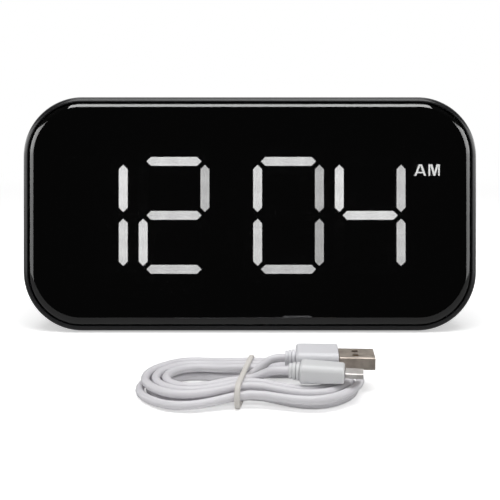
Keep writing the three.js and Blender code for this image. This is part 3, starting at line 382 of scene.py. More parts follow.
# Draws the ring at one depth in, as the body tapers over a further depth
def taper(level, depth):
    middle = clock["height"] / 2
    shift(lambda p: near(p.y, level) and p.x > 0, x=-depth * sideSlope)
    shift(lambda p: near(p.y, level) and p.x < 0, x=depth * sideSlope)
    shift(lambda p: near(p.y, level) and p.z < middle, z=depth * leanSlope)
    shift(lambda p: near(p.y, level) and p.z > middle, z=-depth * topSlope)


# A block with the body's rounded, tapered outline
def bodyBlock(name, front, back, drawnIn=0, segments=clock["cornerSteps"]):
    side = clock["width"] / 2 - drawnIn
    piece = startSlab(name, 0, side, (front, back), (drawnIn, clock["height"] - drawnIn))
    edit(piece)
    roundAlong(yAxis, clock["corner"] - drawnIn, segments)
    taper(front, front)
    taper(back, back)
    done()
    return piece


# A block with rounded corners about an axis
def roundedSlab(name, x, half, depths, heights, axis, radius, segments):
    piece = startSlab(name, x, half, depths, heights)
    edit(piece)
    roundAlong(axis, radius, segments)
    weld()
    done()
    return piece


# A rounded plate square to the depth; its size is length, height and radius
def roundedBlock(name, place, size, front, back, segments=8):
    (x, z), (long, tall, radius) = place, size
    heights = (z - tall / 2, z + tall / 2)
    return roundedSlab(name, x, long / 2, (front, back), heights, yAxis, radius, segments)


# A block whose far end along an axis has rounded edges
def bluntBlock(name, low, high, axis, size, segments):
    piece = startCube(name, low, high)
    edit(piece)
    roundPlane(axis, high[axis], size, segments)
    done()
    return piece


def boolean(piece, tool, way="DIFFERENCE"):
    makeActive(piece)
    change = piece.modifiers.new("boolean", "BOOLEAN")
    change.operation = way
    change.solver = "EXACT"
    change.object = tool
    bpy.ops.object.modifier_apply(modifier="boolean")
    bpy.data.objects.remove(tool)


def joinInto(piece, others):
    makeActive(piece)
    for other in others:
        other.select_set(True)
    bpy.ops.object.join()


def copyOf(piece, name):
    return rename(addObject(name, piece.data.copy()), name)


# Smooth shading that leaves the large flat faces flat
def smooth(piece, degrees):
    makeActive(piece)
    bpy.ops.object.shade_smooth_by_angle(angle=math.radians(degrees))
    even = piece.modifiers.new("even", "WEIGHTED_NORMAL")
    even.keep_sharp = True
    even.weight = 80
    bpy.ops.object.modifier_apply(modifier="even")


def dress(piece, look):
    piece.data.materials.clear()
    piece.data.materials.append(look)


# Places the piece, gives it its finish and lets it ride on its body
def finishPiece(piece, body, slot, replaced=(), look=None, place=settle, degrees=32):
    smooth(piece, degrees)
    piece.data.transform(place)
    dress(piece, looks[look or slot])
    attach(piece, body)
    if replaced:
        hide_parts(*replaced)
    return piece


# Shader helpers: an input takes a socket as a link and anything else as its value
def feed(node, values):
    for label, value in values.items():
        if isinstance(value, bpy.types.NodeSocket):
            node.id_data.links.new(value, node.inputs[label])
        else:
            node.inputs[label].default_value = value


def addNode(tree, kind, values=None, **settings):
    node = tree.nodes.new("ShaderNode" + kind)
    for name, value in settings.items():
        setattr(node, name, value)
    feed(node, values or {})
    return node.outputs


def addNoise(tree, place, scale, detail):
    return addNode(tree, "TexNoise", {"Vector": place, "Scale": scale, "Detail": detail})["Fac"]


def addMath(tree, operation, *values):
    return addNode(tree, "Math", dict(enumerate(values)), operation=operation)[0]


def addRange(tree, value, fromLow, fromHigh, toLow=0, toHigh=1, kind="LINEAR"):
    values = {"Value": value, "From Min": fromLow, "From Max": fromHigh, "To Min": toLow, "To Max": toHigh}
    return addNode(tree, "MapRange", values, interpolation_type=kind)["Result"]


def newGroup(name, inputs, outputs):
    tree = bpy.data.node_groups.new(name, "ShaderNodeTree")
    for way, labels in (("INPUT", inputs), ("OUTPUT", outputs)):
        for label in labels:
            kind = "NodeSocketVector" if label == "Vector" else "NodeSocketFloat"
            tree.interface.new_socket(name=label, in_out=way, socket_type=kind)
    start, end = tree.nodes.new("NodeGroupInput"), tree.nodes.new("NodeGroupOutput")
    return tree, start.outputs, end


def newMaterial(name):
    material = bpy.data.materials.new(name)
    material.use_nodes = True
    return material, material.node_tree, material.node_tree.nodes["Principled BSDF"]


def objectPlace(tree):
    return addNode(tree, "TexCoord")["Object"]


grainLook = {"middle": (0.3, 0.7), "fineDetail": 2, "broadDetail": 3, "cloudDetail": 4}
drawnLook = {
    "stretch": (0.04, 1, 1), "fine": 900, "fineDetail": 3, "tarnish": 260, "tarnishDetail": 4,
    "tarnished": (0.35, 0.7), "relief": (0.08, 0.01),
}


# Moulded surface: fine spark grain, broad gloss changes, slightly cloudy colour
def mouldedGrain():
    tree, start, end = newGroup("moulded grain", ("Vector", "Grain", "Broad"), ("Height", "Gloss", "Cloud"))
    fine = addNoise(tree, start["Vector"], start["Grain"], grainLook["fineDetail"])
    broad = addNoise(tree, start["Vector"], start["Broad"], grainLook["broadDetail"])
    cloud = addNoise(tree, start["Vector"], start["Broad"], grainLook["cloudDetail"])
    gloss, cloudy = (addRange(tree, noise, *grainLook["middle"]) for noise in (broad, cloud))
    feed(end, {"Height": fine, "Gloss": gloss, "Cloud": cloudy})
    return tree


# Drawn metal: long fine scratches along one axis
def drawnMetal():
    tree, start, end = newGroup("drawn metal", ("Vector",), ("Height", "Streak", "Tarnish"))
    stretched = addNode(tree, "Mapping", {"Vector": start["Vector"], "Scale": drawnLook["stretch"]})
    streak = addNoise(tree, stretched["Vector"], drawnLook["fine"], drawnLook["fineDetail"])
    tarnish = addNoise(tree, start["Vector"], drawnLook["tarnish"], drawnLook["tarnishDetail"])
    shine = addRange(tree, streak, *grainLook["middle"])
    dull = addRange(tree, tarnish, *drawnLook["tarnished"])
    feed(end, {"Height": streak, "Streak": shine, "Tarnish": dull})
    return tree


mouldedGroup = mouldedGrain()
metalGroup = drawnMetal()


# A finish between two colours and two roughnesses, led by two outputs of a shared effect
def newFinish(name, group, leads, colours, roughness, bump, depth, **knobs):
    material, tree, shader = newMaterial(name)
    effect = tree.nodes.new("ShaderNodeGroup")
    effect.node_tree = group
    feed(effect, {"Vector": objectPlace(tree), **knobs})
    tone, gloss = (effect.outputs[lead] for lead in leads)
    first, second = ((*colour, 1) for colour in colours)
    mix = addNode(tree, "Mix", {"Factor": tone, "A": first, "B": second}, data_type="RGBA")
    relief = {"Strength": bump, "Distance": depth * mm, "Height": effect.outputs["Height"]}
    values = {
        "Base Color": mix["Result"],
        "Roughness": addRange(tree, gloss, 0, 1, *roughness),
        "Normal": addNode(tree, "Bump", relief)["Normal"],
    }
    feed(shader, values)
    return material, shader


def moulded(name, dark, light, roughness, grain, broad, bump, depth):
    colours, knobs = (dark, light), {"Grain": grain, "Broad": broad}
    return newFinish(name, mouldedGroup, ("Cloud", "Gloss"), colours, roughness, bump, depth, **knobs)[0]


def metal(name, dark, light, roughness, metallic):
    leads, colours = ("Tarnish", "Streak"), (light, dark)
    material, shader = newFinish(name, metalGroup, leads, colours, roughness, *drawnLook["relief"])
    shader.inputs["Metallic"].default_value = metallic
    return material


# Smoked front: passes little light and has a hard polished coat
smokedLook = {
    "Base Color": (0.05, 0.05, 0.05, 1), "Transmission Weight": 1, "IOR": 1.49, "Roughness": 0,
    "Specular IOR Level": 1, "Coat Weight": 1, "Coat IOR": 1.6, "Coat Roughness": 0.01,
}


def smokedLens():
    material, _, shader = newMaterial("smoked acrylic")
    feed(shader, smokedLook)
    return material


# Lit plastic: its colour attribute holds how bright each point glows
litLook = {
    "strength": 23.3, "mottle": 0.05, "scale": 700, "detail": 3, "body": (0.5, 0.5, 0.5, 1),
    "roughness": 0.6,
}


def litPlastic():
    material, tree, shader = newMaterial("lit segment")
    mottle = addNoise(tree, objectPlace(tree), litLook["scale"], litLook["detail"])
    level = addRange(tree, mottle, *grainLook["middle"], 1 - litLook["mottle"], 1)
    glow = addNode(tree, "Attribute", attribute_name="glow")["Color"]
    scaled = addNode(tree, "VectorMath", {0: glow, "Scale": level}, operation="SCALE")
    values = {
        "Emission Color": scaled["Vector"],
        "Emission Strength": litLook["strength"],
        "Base Color": litLook["body"],
        "Roughness": litLook["roughness"],
    }
    feed(shader, values)
    return material


# Moulded finishes: dark and light colour, roughness, grain, broad scale, bump strength and depth
mouldedLooks = {
    "housing_black": ((0.01, 0.01, 0.011), (0.014, 0.014, 0.015), (0.2, 0.28), 3200, 14, 0.05, 0.01),
    "cover_black": ((0.016, 0.016, 0.017), (0.022, 0.022, 0.023), (0.46, 0.6), 1900, 12, 0.35, 0.03),
    "mask_black": ((0.003, 0.003, 0.003), (0.004, 0.004, 0.004), (0.7, 0.85), 2500, 18, 0.05, 0.01),
    "milky_sheet": ((0.1, 0.1, 0.102), (0.13, 0.13, 0.133), (0.5, 0.65), 1500, 40, 0.05, 0.01),
    "reflector_white": ((0.72, 0.72, 0.7), (0.8, 0.8, 0.79), (0.45, 0.6), 1800, 30, 0.1, 0.01),
    "board_green": ((0.008, 0.07, 0.03), (0.015, 0.11, 0.05), (0.28, 0.45), 900, 90, 0.15, 0.02),
    "part_black": ((0.012, 0.012, 0.012), (0.02, 0.02, 0.02), (0.4, 0.55), 2200, 40, 0.15, 0.02),
    "foot_rubber": ((0.012, 0.012, 0.012), (0.02, 0.02, 0.02), (0.75, 0.9), 1600, 60, 0.4, 0.04),
    "key_black": ((0.022, 0.022, 0.023), (0.03, 0.03, 0.031), (0.34, 0.46), 2600, 30, 0.12, 0.015),
    "ribbon_grey": ((0.55, 0.55, 0.53), (0.63, 0.63, 0.61), (0.4, 0.55), 1200, 50, 0.1, 0.02),
    "cord_white": ((0.77, 0.755, 0.785), (0.83, 0.815, 0.845), (0.34, 0.46), 1100, 45, 0.12, 0.02),
    "grip_white": ((0.81, 0.805, 0.835), (0.86, 0.855, 0.885), (0.32, 0.42), 2000, 40, 0.08, 0.015),
    "tip_white": ((0.78, 0.785, 0.79), (0.83, 0.835, 0.84), (0.32, 0.42), 2000, 40, 0.08, 0.015),
    "tie_cream": ((0.73, 0.70, 0.66), (0.80, 0.77, 0.73), (0.5, 0.62), 1500, 70, 0.2, 0.03),
}
# Metal finishes: dark and light colour, roughness and how metallic
metalLooks = {
    "screw_steel": ((0.62, 0.61, 0.6), (0.82, 0.82, 0.83), (0.3, 0.45), 1),
    "contact_plate": ((0.45, 0.33, 0.16), (0.72, 0.6, 0.36), (0.22, 0.4), 1),
    "plug_nickel": ((0.42, 0.36, 0.31), (0.65, 0.575, 0.505), (0.37, 0.5), 0.8),
    "tip_nickel": ((0.66, 0.625, 0.6), (0.87, 0.84, 0.82), (0.38, 0.5), 0.75),
    "gold_strip": ((0.6, 0.42, 0.16), (0.83, 0.63, 0.3), (0.2, 0.32), 1),
}
looks = {"smoked_acrylic": smokedLens(), "lit_segment": litPlastic()}
for make, table in ((moulded, mouldedLooks), (metal, metalLooks)):
    for name, look in table.items():
        looks[name] = make(name.replace("_", " "), *look)
print("materials made:", len(bpy.data.materials))


# Front housing: a rounded tapered tube with a rolled rim and the shelf that holds the lens.
# Throughout, a corner or edge is its size and its steps, and a span is its two ends.
housing = {
    "front": 1, "rimRadius": 2.45, "rimSteps": 8,
    "rimProfile": 0.42,  # a little flatter than round
    "rimFlat": 0.15, "shelf": (3.3, 4.9), "shelfWidth": 2.5, "slotFrom": 91, "postRadius": 3,
    "boreRadius": 1.5, "ribHalf": 0.9,
    # distance to the side, heights, span, the rib's span and gap to the wall, the bore's span
    "posts": (91.4, (34.27, 68.53), (6.3, 15.4), (6.3, 15.4), 0, (5, 17)),
    "towers": (82, (18.5, 85.2), (15.7, clock["split"]), (15.7, 19), 1.6, (14, 23)),
}
snooze = {
    "long": 64, "wide": 10, "depth": 12.4, "endSteps": 16, "above": 107, "edge": (0.35, 3),
    "flangeGrow": 2.4, "flangeThick": 1.2, "overlap": 0.05, "legHalf": 3, "legDeep": 1.5,
    "legFrom": 90.5, "legShort": 0.6,
}
footPlaces = [(side * feet["side"], depth) for depth in feet["depths"] for side in (-1, 1)]


def placesAt(x, heights, sides=(-1, 1)):
    return [(side * x, z) for side in sides for z in heights]


def pill(name, grow, low, high):
    half, wide = (snooze["long"] + grow) / 2, (snooze["wide"] + grow) / 2
    depths = (snooze["depth"] - wide, snooze["depth"] + wide)
    return roundedSlab(name, 0, half, depths, (low, high), zAxis, wide, snooze["endSteps"])


def footSeat(x, depth):
    seat = startRod("seat", feet["seatRadius"], feet["seat"], (0, 0), "Z")
    seat.data.transform(moved(x, depth, depth * leanSlope) @ turned(clock["lean"], "X"))
    return seat


# Posts for the board's screws and towers for the cover's, each with a rib to the wall
def addPosts(piece):
    wall, half = clock["width"] / 2 - clock["wall"], housing["ribHalf"]
    for kind in ("posts", "towers"):
        far, heights, span, (front, back), gap, bore = housing[kind]
        for x, z in placesAt(far, heights):
            boolean(piece, startRod("post", housing["postRadius"], span, (x, z)), "UNION")
            low, high = sorted((x, math.copysign(wall - gap, x)))
            rib = startCube("rib", (low, front, z - half), (high, back, z + half))
            boolean(piece, rib, "UNION")
            boolean(piece, startRod("bore", housing["boreRadius"], bore, (x, z)))


def frontHousing():
    front, split = housing["front"], clock["split"]
    shelfFront, shelfBack = housing["shelf"]
    rimRadius, rimFlat, shelfWidth = housing["rimRadius"], housing["rimFlat"], housing["shelfWidth"]
    piece = bodyBlock("housing_shell", front, split)
    edit(piece)
    roundPlane(yAxis, front, rimRadius, housing["rimSteps"], housing["rimProfile"])
    # in from the rim, down to the shelf and in again
    chooseFacing(yAxis, -1)
    inset(rimFlat)
    extrude(y=shelfFront - front)
    done()
    edit(piece)
    taper(shelfFront, shelfFront - front)
    chooseFacing(yAxis, -1, shelfFront)
    inset(shelfWidth)
    bpy.ops.mesh.delete(type="FACE")
    # the inner wall comes forward from the back edge
    chooseFacing(yAxis, 1)
    inset(clock["wall"])
    extrude(y=shelfBack - split)
    taper(shelfBack, shelfBack - split)
    chooseFacing(yAxis, 1, shelfBack)
    inset(rimFlat + rimRadius + shelfWidth - clock["wall"])
    bridgeRims()
    done()
    boolean(piece, pill("slot", 2 * clock["fit"], housing["slotFrom"], snooze["above"]))
    addPosts(piece)
    for x, depth in footPlaces[:2]:
        boolean(piece, footSeat(x, depth))
    return piece


def snoozeCap():
    piece = bodyBlock("snooze_cap", housing["front"], clock["split"])
    depth, leg = snooze["depth"], snooze["legDeep"]
    under = clock["height"] - (depth + snooze["wide"] / 2) * topSlope - clock["wall"] - clock["fit"]
    boolean(piece, pill("bar", 0, under, snooze["above"]), "INTERSECT")
    edit(piece)
    choose("EDGE", lambda e: both(e, lambda p: p.z > under + 1) and sharp(e))
    bevel(*snooze["edge"])
    done()
    heights = (under - snooze["flangeThick"], under + snooze["overlap"])
    flange = pill("flange", snooze["flangeGrow"], *heights)
    heights = (snooze["legFrom"], under - snooze["legShort"])
    joinInto(piece, [flange, startSlab("leg", 0, snooze["legHalf"], (depth - leg, depth + leg), heights)])
    return piece


finishPiece(frontHousing(), "clock", "housing_black", ["front_housing"])
finishPiece(snoozeCap(), "snooze", "housing_black", ["snooze_bar"])
print("housing and snooze bar made")


# Lens: a thick plate whose front falls away in a polished round shoulder
lens = {
    "back": 3, "drawnIn": 3.1, "cornerSteps": 28, "shoulder": 3.4, "steepest": 45, "steps": 14,
    "edge": (0.12, 2), "degrees": 34,
}


def frontLens():
    steepest = math.radians(lens["steepest"])
    radius = lens["shoulder"] / math.sin(steepest)
    drop = radius * (1 - math.cos(steepest))
    piece = bodyBlock("smoked_lens", drop, lens["back"], lens["drawnIn"], lens["cornerSteps"])
    edit(piece)
    chooseFacing(yAxis, -1)
    angles = [steepest * (1 - i / lens["steps"]) for i in range(lens["steps"] + 1)]
    for a, b in zip(angles, angles[1:]):
        inset(radius * (math.sin(a) - math.sin(b)), radius * (math.cos(b) - math.cos(a)))
    roundPlane(yAxis, drop, *lens["edge"])
    done()
    return piece


finishPiece(frontLens(), "clock", "smoked_acrylic", ["front_lens"], degrees=lens["degrees"])


# Figures: one pointed bar, copied to each lit place of the display
figures = {
    "up": 51.4, "halfTall": 23.85, "halfWide": 13.65, "tipGap": 1.5, "barWide": 3.85,
    "span": (5.25, 5.45), "weld": 0.001, "cuts": 7, "middles": (-69.605, -33.505, 17.09, 53.19),
}
# Each bar's place in half widths and quarters of the height; those to a side stand upright
places = {"t": (0, 2), "ur": (1, 1), "lr": (1, -1), "b": (0, -2), "ll": (-1, -1), "ul": (-1, 1), "m": (0, 0)}
# How bright each bar looks, 0 to 1: t top, ur and lr right, b bottom, ll and ul left, m middle
shown = (
    {"ur": 0.885, "lr": 0.84},
    {"t": 0.85, "ur": 0.73, "m": 0.82, "ll": 0.85, "b": 0.79},
    {"t": 0.825, "ul": 0.84, "ur": 0.70, "ll": 0.81, "lr": 0.66, "b": 0.75},
    {"ul": 0.875, "m": 0.86, "ur": 0.775, "lr": 0.77},
)
# Two lamps behind a bar show as soft patches, and its long edges glow a little
patches = {
    "places": (-0.42, 0.42), "spread": 0.22, "edge": (1.1, 1.9), "base": 0.93, "lampShare": 0.1,
    "edgeShare": 0.06,
}


def linear(value):
    return ((value + 0.055) / 1.055) ** 2.4


def pointedBar(name, half):
    wide = figures["barWide"] / 2
    piece = startSlab(name, 0, half - wide, figures["span"], (-wide, wide))
    edit(piece)
    for sign in (-1, 1):
        chooseFacing(xAxis, sign)
        extrude(x=sign * wide)
        bpy.ops.transform.resize(value=(1, 1, 0))
    weld(figures["weld"])
    bpy.ops.mesh.subdivide(number_cuts=figures["cuts"])
    done()
    return piece


def paintGlow(piece, brightness):
    glow = piece.data.color_attributes.new("glow", "FLOAT_COLOR", "POINT")
    for vertex, value in zip(piece.data.vertices, glow.data):
        value.color = (*[brightness(vertex.co / mm)] * 3, 1)


def paintBar(bar, level, half):
    def brightness(place):
        share = place.x / half
        lamps = sum(math.exp(-(((share - spot) / patches["spread"]) ** 2)) for spot in patches["places"])
        edge = smoothStep(abs(place.z), *patches["edge"])
        patch = patches["base"] + patches["lampShare"] * lamps + patches["edgeShare"] * edge
        return linear(level) * patch

    paintGlow(bar, brightness)


def addFigures():
    wide, quarter, up = figures["halfWide"], figures["halfTall"] / 2, figures["up"]
    halves = [wide - figures["tipGap"], quarter - figures["tipGap"]]
    patterns = [pointedBar("bar_pattern", half) for half in halves]
    for digit, (middle, bars) in enumerate(zip(figures["middles"], shown), 1):
        for name, level in bars.items():
            x, z = places[name]
            stands = abs(x)
            bar = copyOf(patterns[stands], f"lit_bar_{digit}_{name}")
            paintBar(bar, level, halves[stands])
            spot = moved(middle + x * wide, 0, up + z * quarter)
            bar.data.transform(spot @ turned(-90 * stands, "Y"))
            finishPiece(bar, "clock", "milky_sheet", look="lit_segment")
    for pattern in patterns:
        bpy.data.objects.remove(pattern)
    print("lit bars:", sum(len(bars) for bars in shown))


addFigures()


# The half of the day: a black film with lit letters, each joined from straight strokes.
# A stroke is its two ends across the foot, its two across the head, and its low and high edge.
halfDay = {
    "left": 72.48, "foot": 68.87, "unit": 0.4427, "step": 14.45, "level": 0.86,
    "span": (4.96, 5.03),
    "A": [
        (0.35, 2.35, 4.75, 6.85, 0, 11.4), (10.0, 12.15, 5.85, 7.95, 0, 11.4),
        (2.2, 10.2, 3.0, 9.4, 2.5, 3.95),
    ],
    "M": [
        (0, 1.8, 0, 1.8, 0, 11.4), (9.7, 11.3, 9.7, 11.3, 0, 11.4),
        (4.7, 6.65, 1.75, 3.9, 0, 11.4), (4.8, 6.75, 8.0, 10.1, 0, 11.4),
    ],
    "film": (78.6, 71.5), "filmSize": (15.4, 8.8, 1), "filmSpan": (5.05, 5.15),
}


def addStroke(left, stroke):
    unit, foot = halfDay["unit"], halfDay["foot"]
    footLeft, footRight, headLeft, headRight, low, high = (number * unit for number in stroke)
    start, end, low, high = left + footLeft, left + footRight, foot + low, foot + high
    front, back = halfDay["span"]
    piece = startCube("stroke", (start, front, low), (end, back, high))
    edit(piece)
    shift(lambda p: near(p.z, high) and near(p.x, start), x=headLeft - footLeft)
    shift(lambda p: near(p.z, high) and near(p.x, end), x=headRight - footRight)
    done()
    return piece


def addHalfDay():
    film = roundedBlock("letter_film", halfDay["film"], halfDay["filmSize"], *halfDay["filmSpan"])
    finishPiece(film, "clock", "mask_black")
    for i, letter in enumerate("AM"):
        left = halfDay["left"] + i * halfDay["step"] * halfDay["unit"]
        whole, *others = (addStroke(left, stroke) for stroke in halfDay[letter])
        for stroke in others:
            boolean(whole, stroke, "UNION")
        paintGlow(whole, lambda place: linear(halfDay["level"]))
        rename(whole, f"half_day_letter_{i + 1}")
        finishPiece(whole, "clock", "milky_sheet", look="lit_segment")


addHalfDay()
print("display made")


# Rear cover: a rounded cup with battery bay, inlet, key openings and sound slots
cover = {
    "front": 21.3, "inside": 35.8,
    "rooted": 0.3,  # how far the inner stands reach into the wall
    "past": 40,  # openings are cut to here
    "backEdge": (4, 7), "soft": 0.25, "bayHalf": 25.8, "bayHeights": (23.55, 57.35), "bayFloor": 24,
    "bayWall": 1.6, "recess": 2.25, "recessFloor": 35.9, "frameFrom": 34.2, "boreRadius": 1.5,
    "screws": (82, (18.5, 85.2)), "screwBore": (20, 27), "towerRadius": 4.3, "counterRadius": 3.1,
    "counterFloor": 25.5, "posts": (66, (25, 79.5)), "postRadius": 2.8, "postFrom": 28.3,
    "postBore": (28, 35), "tabX": 14, "tabHalf": 3.85,
    "tabRooms": (((33.1, 35.8), (19.35, 24.55)), ((35.2, 36.2), (21.3, 24.55))),
    "inlet": (56, 32), "inletBlock": (16, 12, 2.8), "inletFrom": 32.2, "pocket": (13.6, 9.6, 1.6),
    "pocketFrom": 33.4, "socket": (8.2, 3.5, 0.7), "socketSpan": (27, 38), "openFrom": 34,
    "keyRow": 74.5, "keyOpening": (13.6, 7, 3.5), "keySteps": 12, "buzzer": (-56, 40),
    "slot": (1.8, 15, 0.9), "slotPitch": 4.2,
}
keyPlaces = {"set": 40.5, "alarm": 13.5, "up": -13.5, "down": -40.5}


def bayBlock(name, grow, front, back):
    low, high = cover["bayHeights"]
    return startSlab(name, 0, cover["bayHalf"] + grow, (front, back), (low - grow, high + grow))


# What stands on the inside
def coverStands():
    root, wall = cover["inside"] + cover["rooted"], cover["bayWall"]
    yield bayBlock("bay", wall, cover["bayFloor"] - wall, root)
    yield bayBlock("frame", cover["recess"] + wall, cover["frameFrom"], root)
    yield roundedBlock("inlet", cover["inlet"], cover["inletBlock"], cover["inletFrom"], root)
    for side in (-1, 1):
        for place in placesAt(*cover["screws"], [side]):
            yield startRod("tower", cover["towerRadius"], (cover["front"], root), place)
        for place in placesAt(*cover["posts"], [side]):
            yield startRod("board_post", cover["postRadius"], (cover["postFrom"], root), place)


def coverOpenings():
    past, openFrom, bore = cover["past"], cover["openFrom"], cover["boreRadius"]
    yield bayBlock("room", 0, cover["bayFloor"], past)
    yield bayBlock("recess", cover["recess"], cover["recessFloor"], past)
    for side in (-1, 1):
        for depths, heights in cover["tabRooms"]:
            yield startSlab("tab_room", side * cover["tabX"], cover["tabHalf"], depths, heights)
    yield roundedBlock("pocket", cover["inlet"], cover["pocket"], cover["pocketFrom"], past)
    yield roundedBlock("socket", cover["inlet"], cover["socket"], *cover["socketSpan"])
    for x in keyPlaces.values():
        place = (x, cover["keyRow"])
        yield roundedBlock("key", place, cover["keyOpening"], openFrom, past, cover["keySteps"])
    x, z = cover["buzzer"]
    for i in range(-2, 3):
        yield roundedBlock("slot", (x + i * cover["slotPitch"], z), cover["slot"], openFrom, past)
    for side in (-1, 1):
        for place in placesAt(*cover["screws"], [side]):
            yield startRod("counterbore", cover["counterRadius"], (cover["counterFloor"], past), place)
            yield startRod("bore", bore, cover["screwBore"], place)
        for place in placesAt(*cover["posts"], [side]):
            yield startRod("bore", bore, cover["postBore"], place)
    for x, depth in footPlaces[2:]:
        yield footSeat(x, depth)


def rearCover():
    front, back, inside = cover["front"], clock["depth"], cover["inside"]
    piece = bodyBlock("rear_shell", front, back)
    edit(piece)
    roundPlane(yAxis, back, *cover["backEdge"])
    chooseFacing(yAxis, -1)
    inset(clock["wall"])
    extrude(y=inside - front)
    taper(inside, inside - front)
    done()
    for tool in coverStands():
        boolean(piece, tool, "UNION")
    for tool in coverOpenings():
        boolean(piece, tool)
    softenPlane(piece, yAxis, back, cover["soft"])
    print("rear cover made:", len(piece.data.polygons), "faces")
    return piece


finishPiece(rearCover(), "clock", "cover_black", ["rear_cover"])


# Battery door: finger grooves, two hooks at its low edge, a catch at its high one
door = {
    "half": 27.7, "span": (36.2, 38), "heights": (21.65, 59.25), "corner": (0.8, 4),
    "edge": (0.25, 3), "grooves": 3, "groovePitch": 2.6, "groove": (16, 1.2, 0.5),
    "grooveSpan": (37.5, 39), "grooveSteps": 4, "grooveSoft": 0.1, "hookX": 14, "hookHalf": 3.5,
    "hook": (((34, 35.5), (-1.7, 3)), ((34, 36.3), (2.2, 3))), "catch": ((34, 36.3), (-3.7, -2.2)),
}


def bayDoor():
    low, high = door["heights"]
    piece = startSlab("bay_door", 0, door["half"], door["span"], door["heights"])
    edit(piece)
    roundAlong(yAxis, *door["corner"])
    roundPlane(yAxis, door["span"][1], *door["edge"])
    done()
    for i in range(door["grooves"]):
        place = (0, high - door["groovePitch"] * (i + 1))
        groove = roundedBlock("groove", place, door["groove"], *door["grooveSpan"], door["grooveSteps"])
        boolean(piece, groove)

    def hook(x, edge, span, heights):
        return startSlab("hook", x, door["hookHalf"], span, [edge + z for z in heights])

    hooks = [hook(side * door["hookX"], low, *part) for side in (-1, 1) for part in door["hook"]]
    joinInto(piece, hooks + [hook(0, high, *door["catch"])])
    softenPlane(piece, yAxis, door["grooveSpan"][0], door["grooveSoft"])
    return piece


finishPiece(bayDoor(), "battery_door", "cover_black", ["battery_door"])


# Keys: one dished cap with its flange, copied along the row
keycap = {
    "cap": (13, 6.4, 3.2), "span": (35.3, 39), "capSteps": 14, "edge": (0.7, 5), "rim": 0.9,
    "slope": 0.6, "dish": 0.12, "flange": (15.2, 8.6, 4.3), "flangeSpan": (34.3, 35.4),
    "flangeSteps": 12, "stemRadius": 1.6, "stem": (33.3, 34.5), "degrees": 28,
}


def keyCap():
    top = keycap["span"][1]
    piece = roundedBlock("key_pattern", (0, 0), keycap["cap"], *keycap["span"], keycap["capSteps"])
    edit(piece)
    roundPlane(yAxis, top, *keycap["edge"])
    chooseFacing(yAxis, 1, top)
    inset(keycap["rim"])
    inset(keycap["slope"], -keycap["dish"])
    done()
    steps = keycap["flangeSteps"]
    flange = roundedBlock("flange", (0, 0), keycap["flange"], *keycap["flangeSpan"], steps)
    joinInto(piece, [flange, startRod("stem", keycap["stemRadius"], keycap["stem"], (0, 0))])
    return piece


def addKeys():
    pattern = keyCap()
    for name, x in keyPlaces.items():
        key = copyOf(pattern, f"{name}_cap")
        key.data.transform(moved(x, 0, cover["keyRow"]))
        finishPiece(key, f"{name}_key", "key_black", [f"{name}_key"], degrees=keycap["degrees"])
    bpy.data.objects.remove(pattern)


addKeys()


# Feet: low rubber discs with a rounded tread
def addFeet():
    pattern = startRod("foot_pattern", feet["radius"], (0, feet["tall"]), (0, 0), "Z")
    edit(pattern)
    chooseFacing(zAxis, -1)
    inset(feet["rim"])
    inset(feet["slope"], -feet["dish"])
    choose("EDGE", lambda e: both(e, lambda p: near(p.z, 0) and p.xy.length > feet["outer"]))
    bevel(*feet["edge"])
    done()
    for i, (x, depth) in enumerate(footPlaces, 1):
        spot = Matrix.Translation((x * mm, clockY + depth * mm / math.cos(leanAngle), 0))
        foot = copyOf(pattern, f"rubber_foot_{i}")
        finishPiece(foot, "clock", "foot_rubber", [f"foot_{i}"], place=spot, degrees=feet["degrees"])
    bpy.data.objects.remove(pattern)


addFeet()
print("door, keys and feet made")


# Plugs of the cable, drawn along x from the back of their collars
usb = {
    "grip": (3.8, 18.8), "gripSize": (15.4, 7.6), "share": 1, "corner": (2.2, 8),
    "backEdge": (1.3, 6), "frontEdge": (0.6, 4), "shellTo": 31.5, "shellSize": (12, 4.5),
    "shellWall": 0.35, "shellCorner": (0.7, 4), "aside": 2.5,
    "openings": (((-7.8, -5.6), 1.1, (0.5, 3.25)), ((-5.2, -2.4), 0.7, (-3.25, -2.05))),
    "seam": ((18.1, -0.07, 2.05), (32.5, 0.07, 3.25)), "soft": 0.06,
    "core": ((20.4, -5.35, -1.6), (31.2, 5.35, 0.2), xAxis, 0.25, 3),
    "strips": ((-3.5, 0.75, 30.4), (-1, 0.5, 29.6), (1, 0.5, 29.6), (3.5, 0.75, 30.4)),
    "stripFrom": 21.4, "stripHeights": (0.19, 0.32), "stripEdge": (0.05, 2),
}
tip = {
    "grip": (3.8, 18.8), "gripSize": (10.4, 6.8), "share": 0.86, "corner": (2.1, 8),
    "backEdge": (1.2, 6), "frontEdge": (0.7, 4), "shellTo": 25.1, "shellSize": (6.85, 1.85),
    "shellWall": 0.3, "shellCorner": (0.6, 4),
    "tongue": ((19.7, -2, -0.25), (24.6, 2, 0.3), xAxis, 0.12, 2),
}
collar = {
    "rings": 3, "from": 0.02, "pitch": 1.27, "long": 1.05, "wide": 5.3, "widen": 0.85,
    "tallest": 5.9, "flat": 0.15, "steps": 8, "edge": (0.22, 3), "coreRadius": 2.35,
    "core": (0.2, 4.4),
}
shells = {"gap": 0.3, "back": 1, "lip": 0.3}


def plugPlace(plug):
    return cablePlace @ moved(*plug["start"]) @ turned(plug["turn"], "Z")


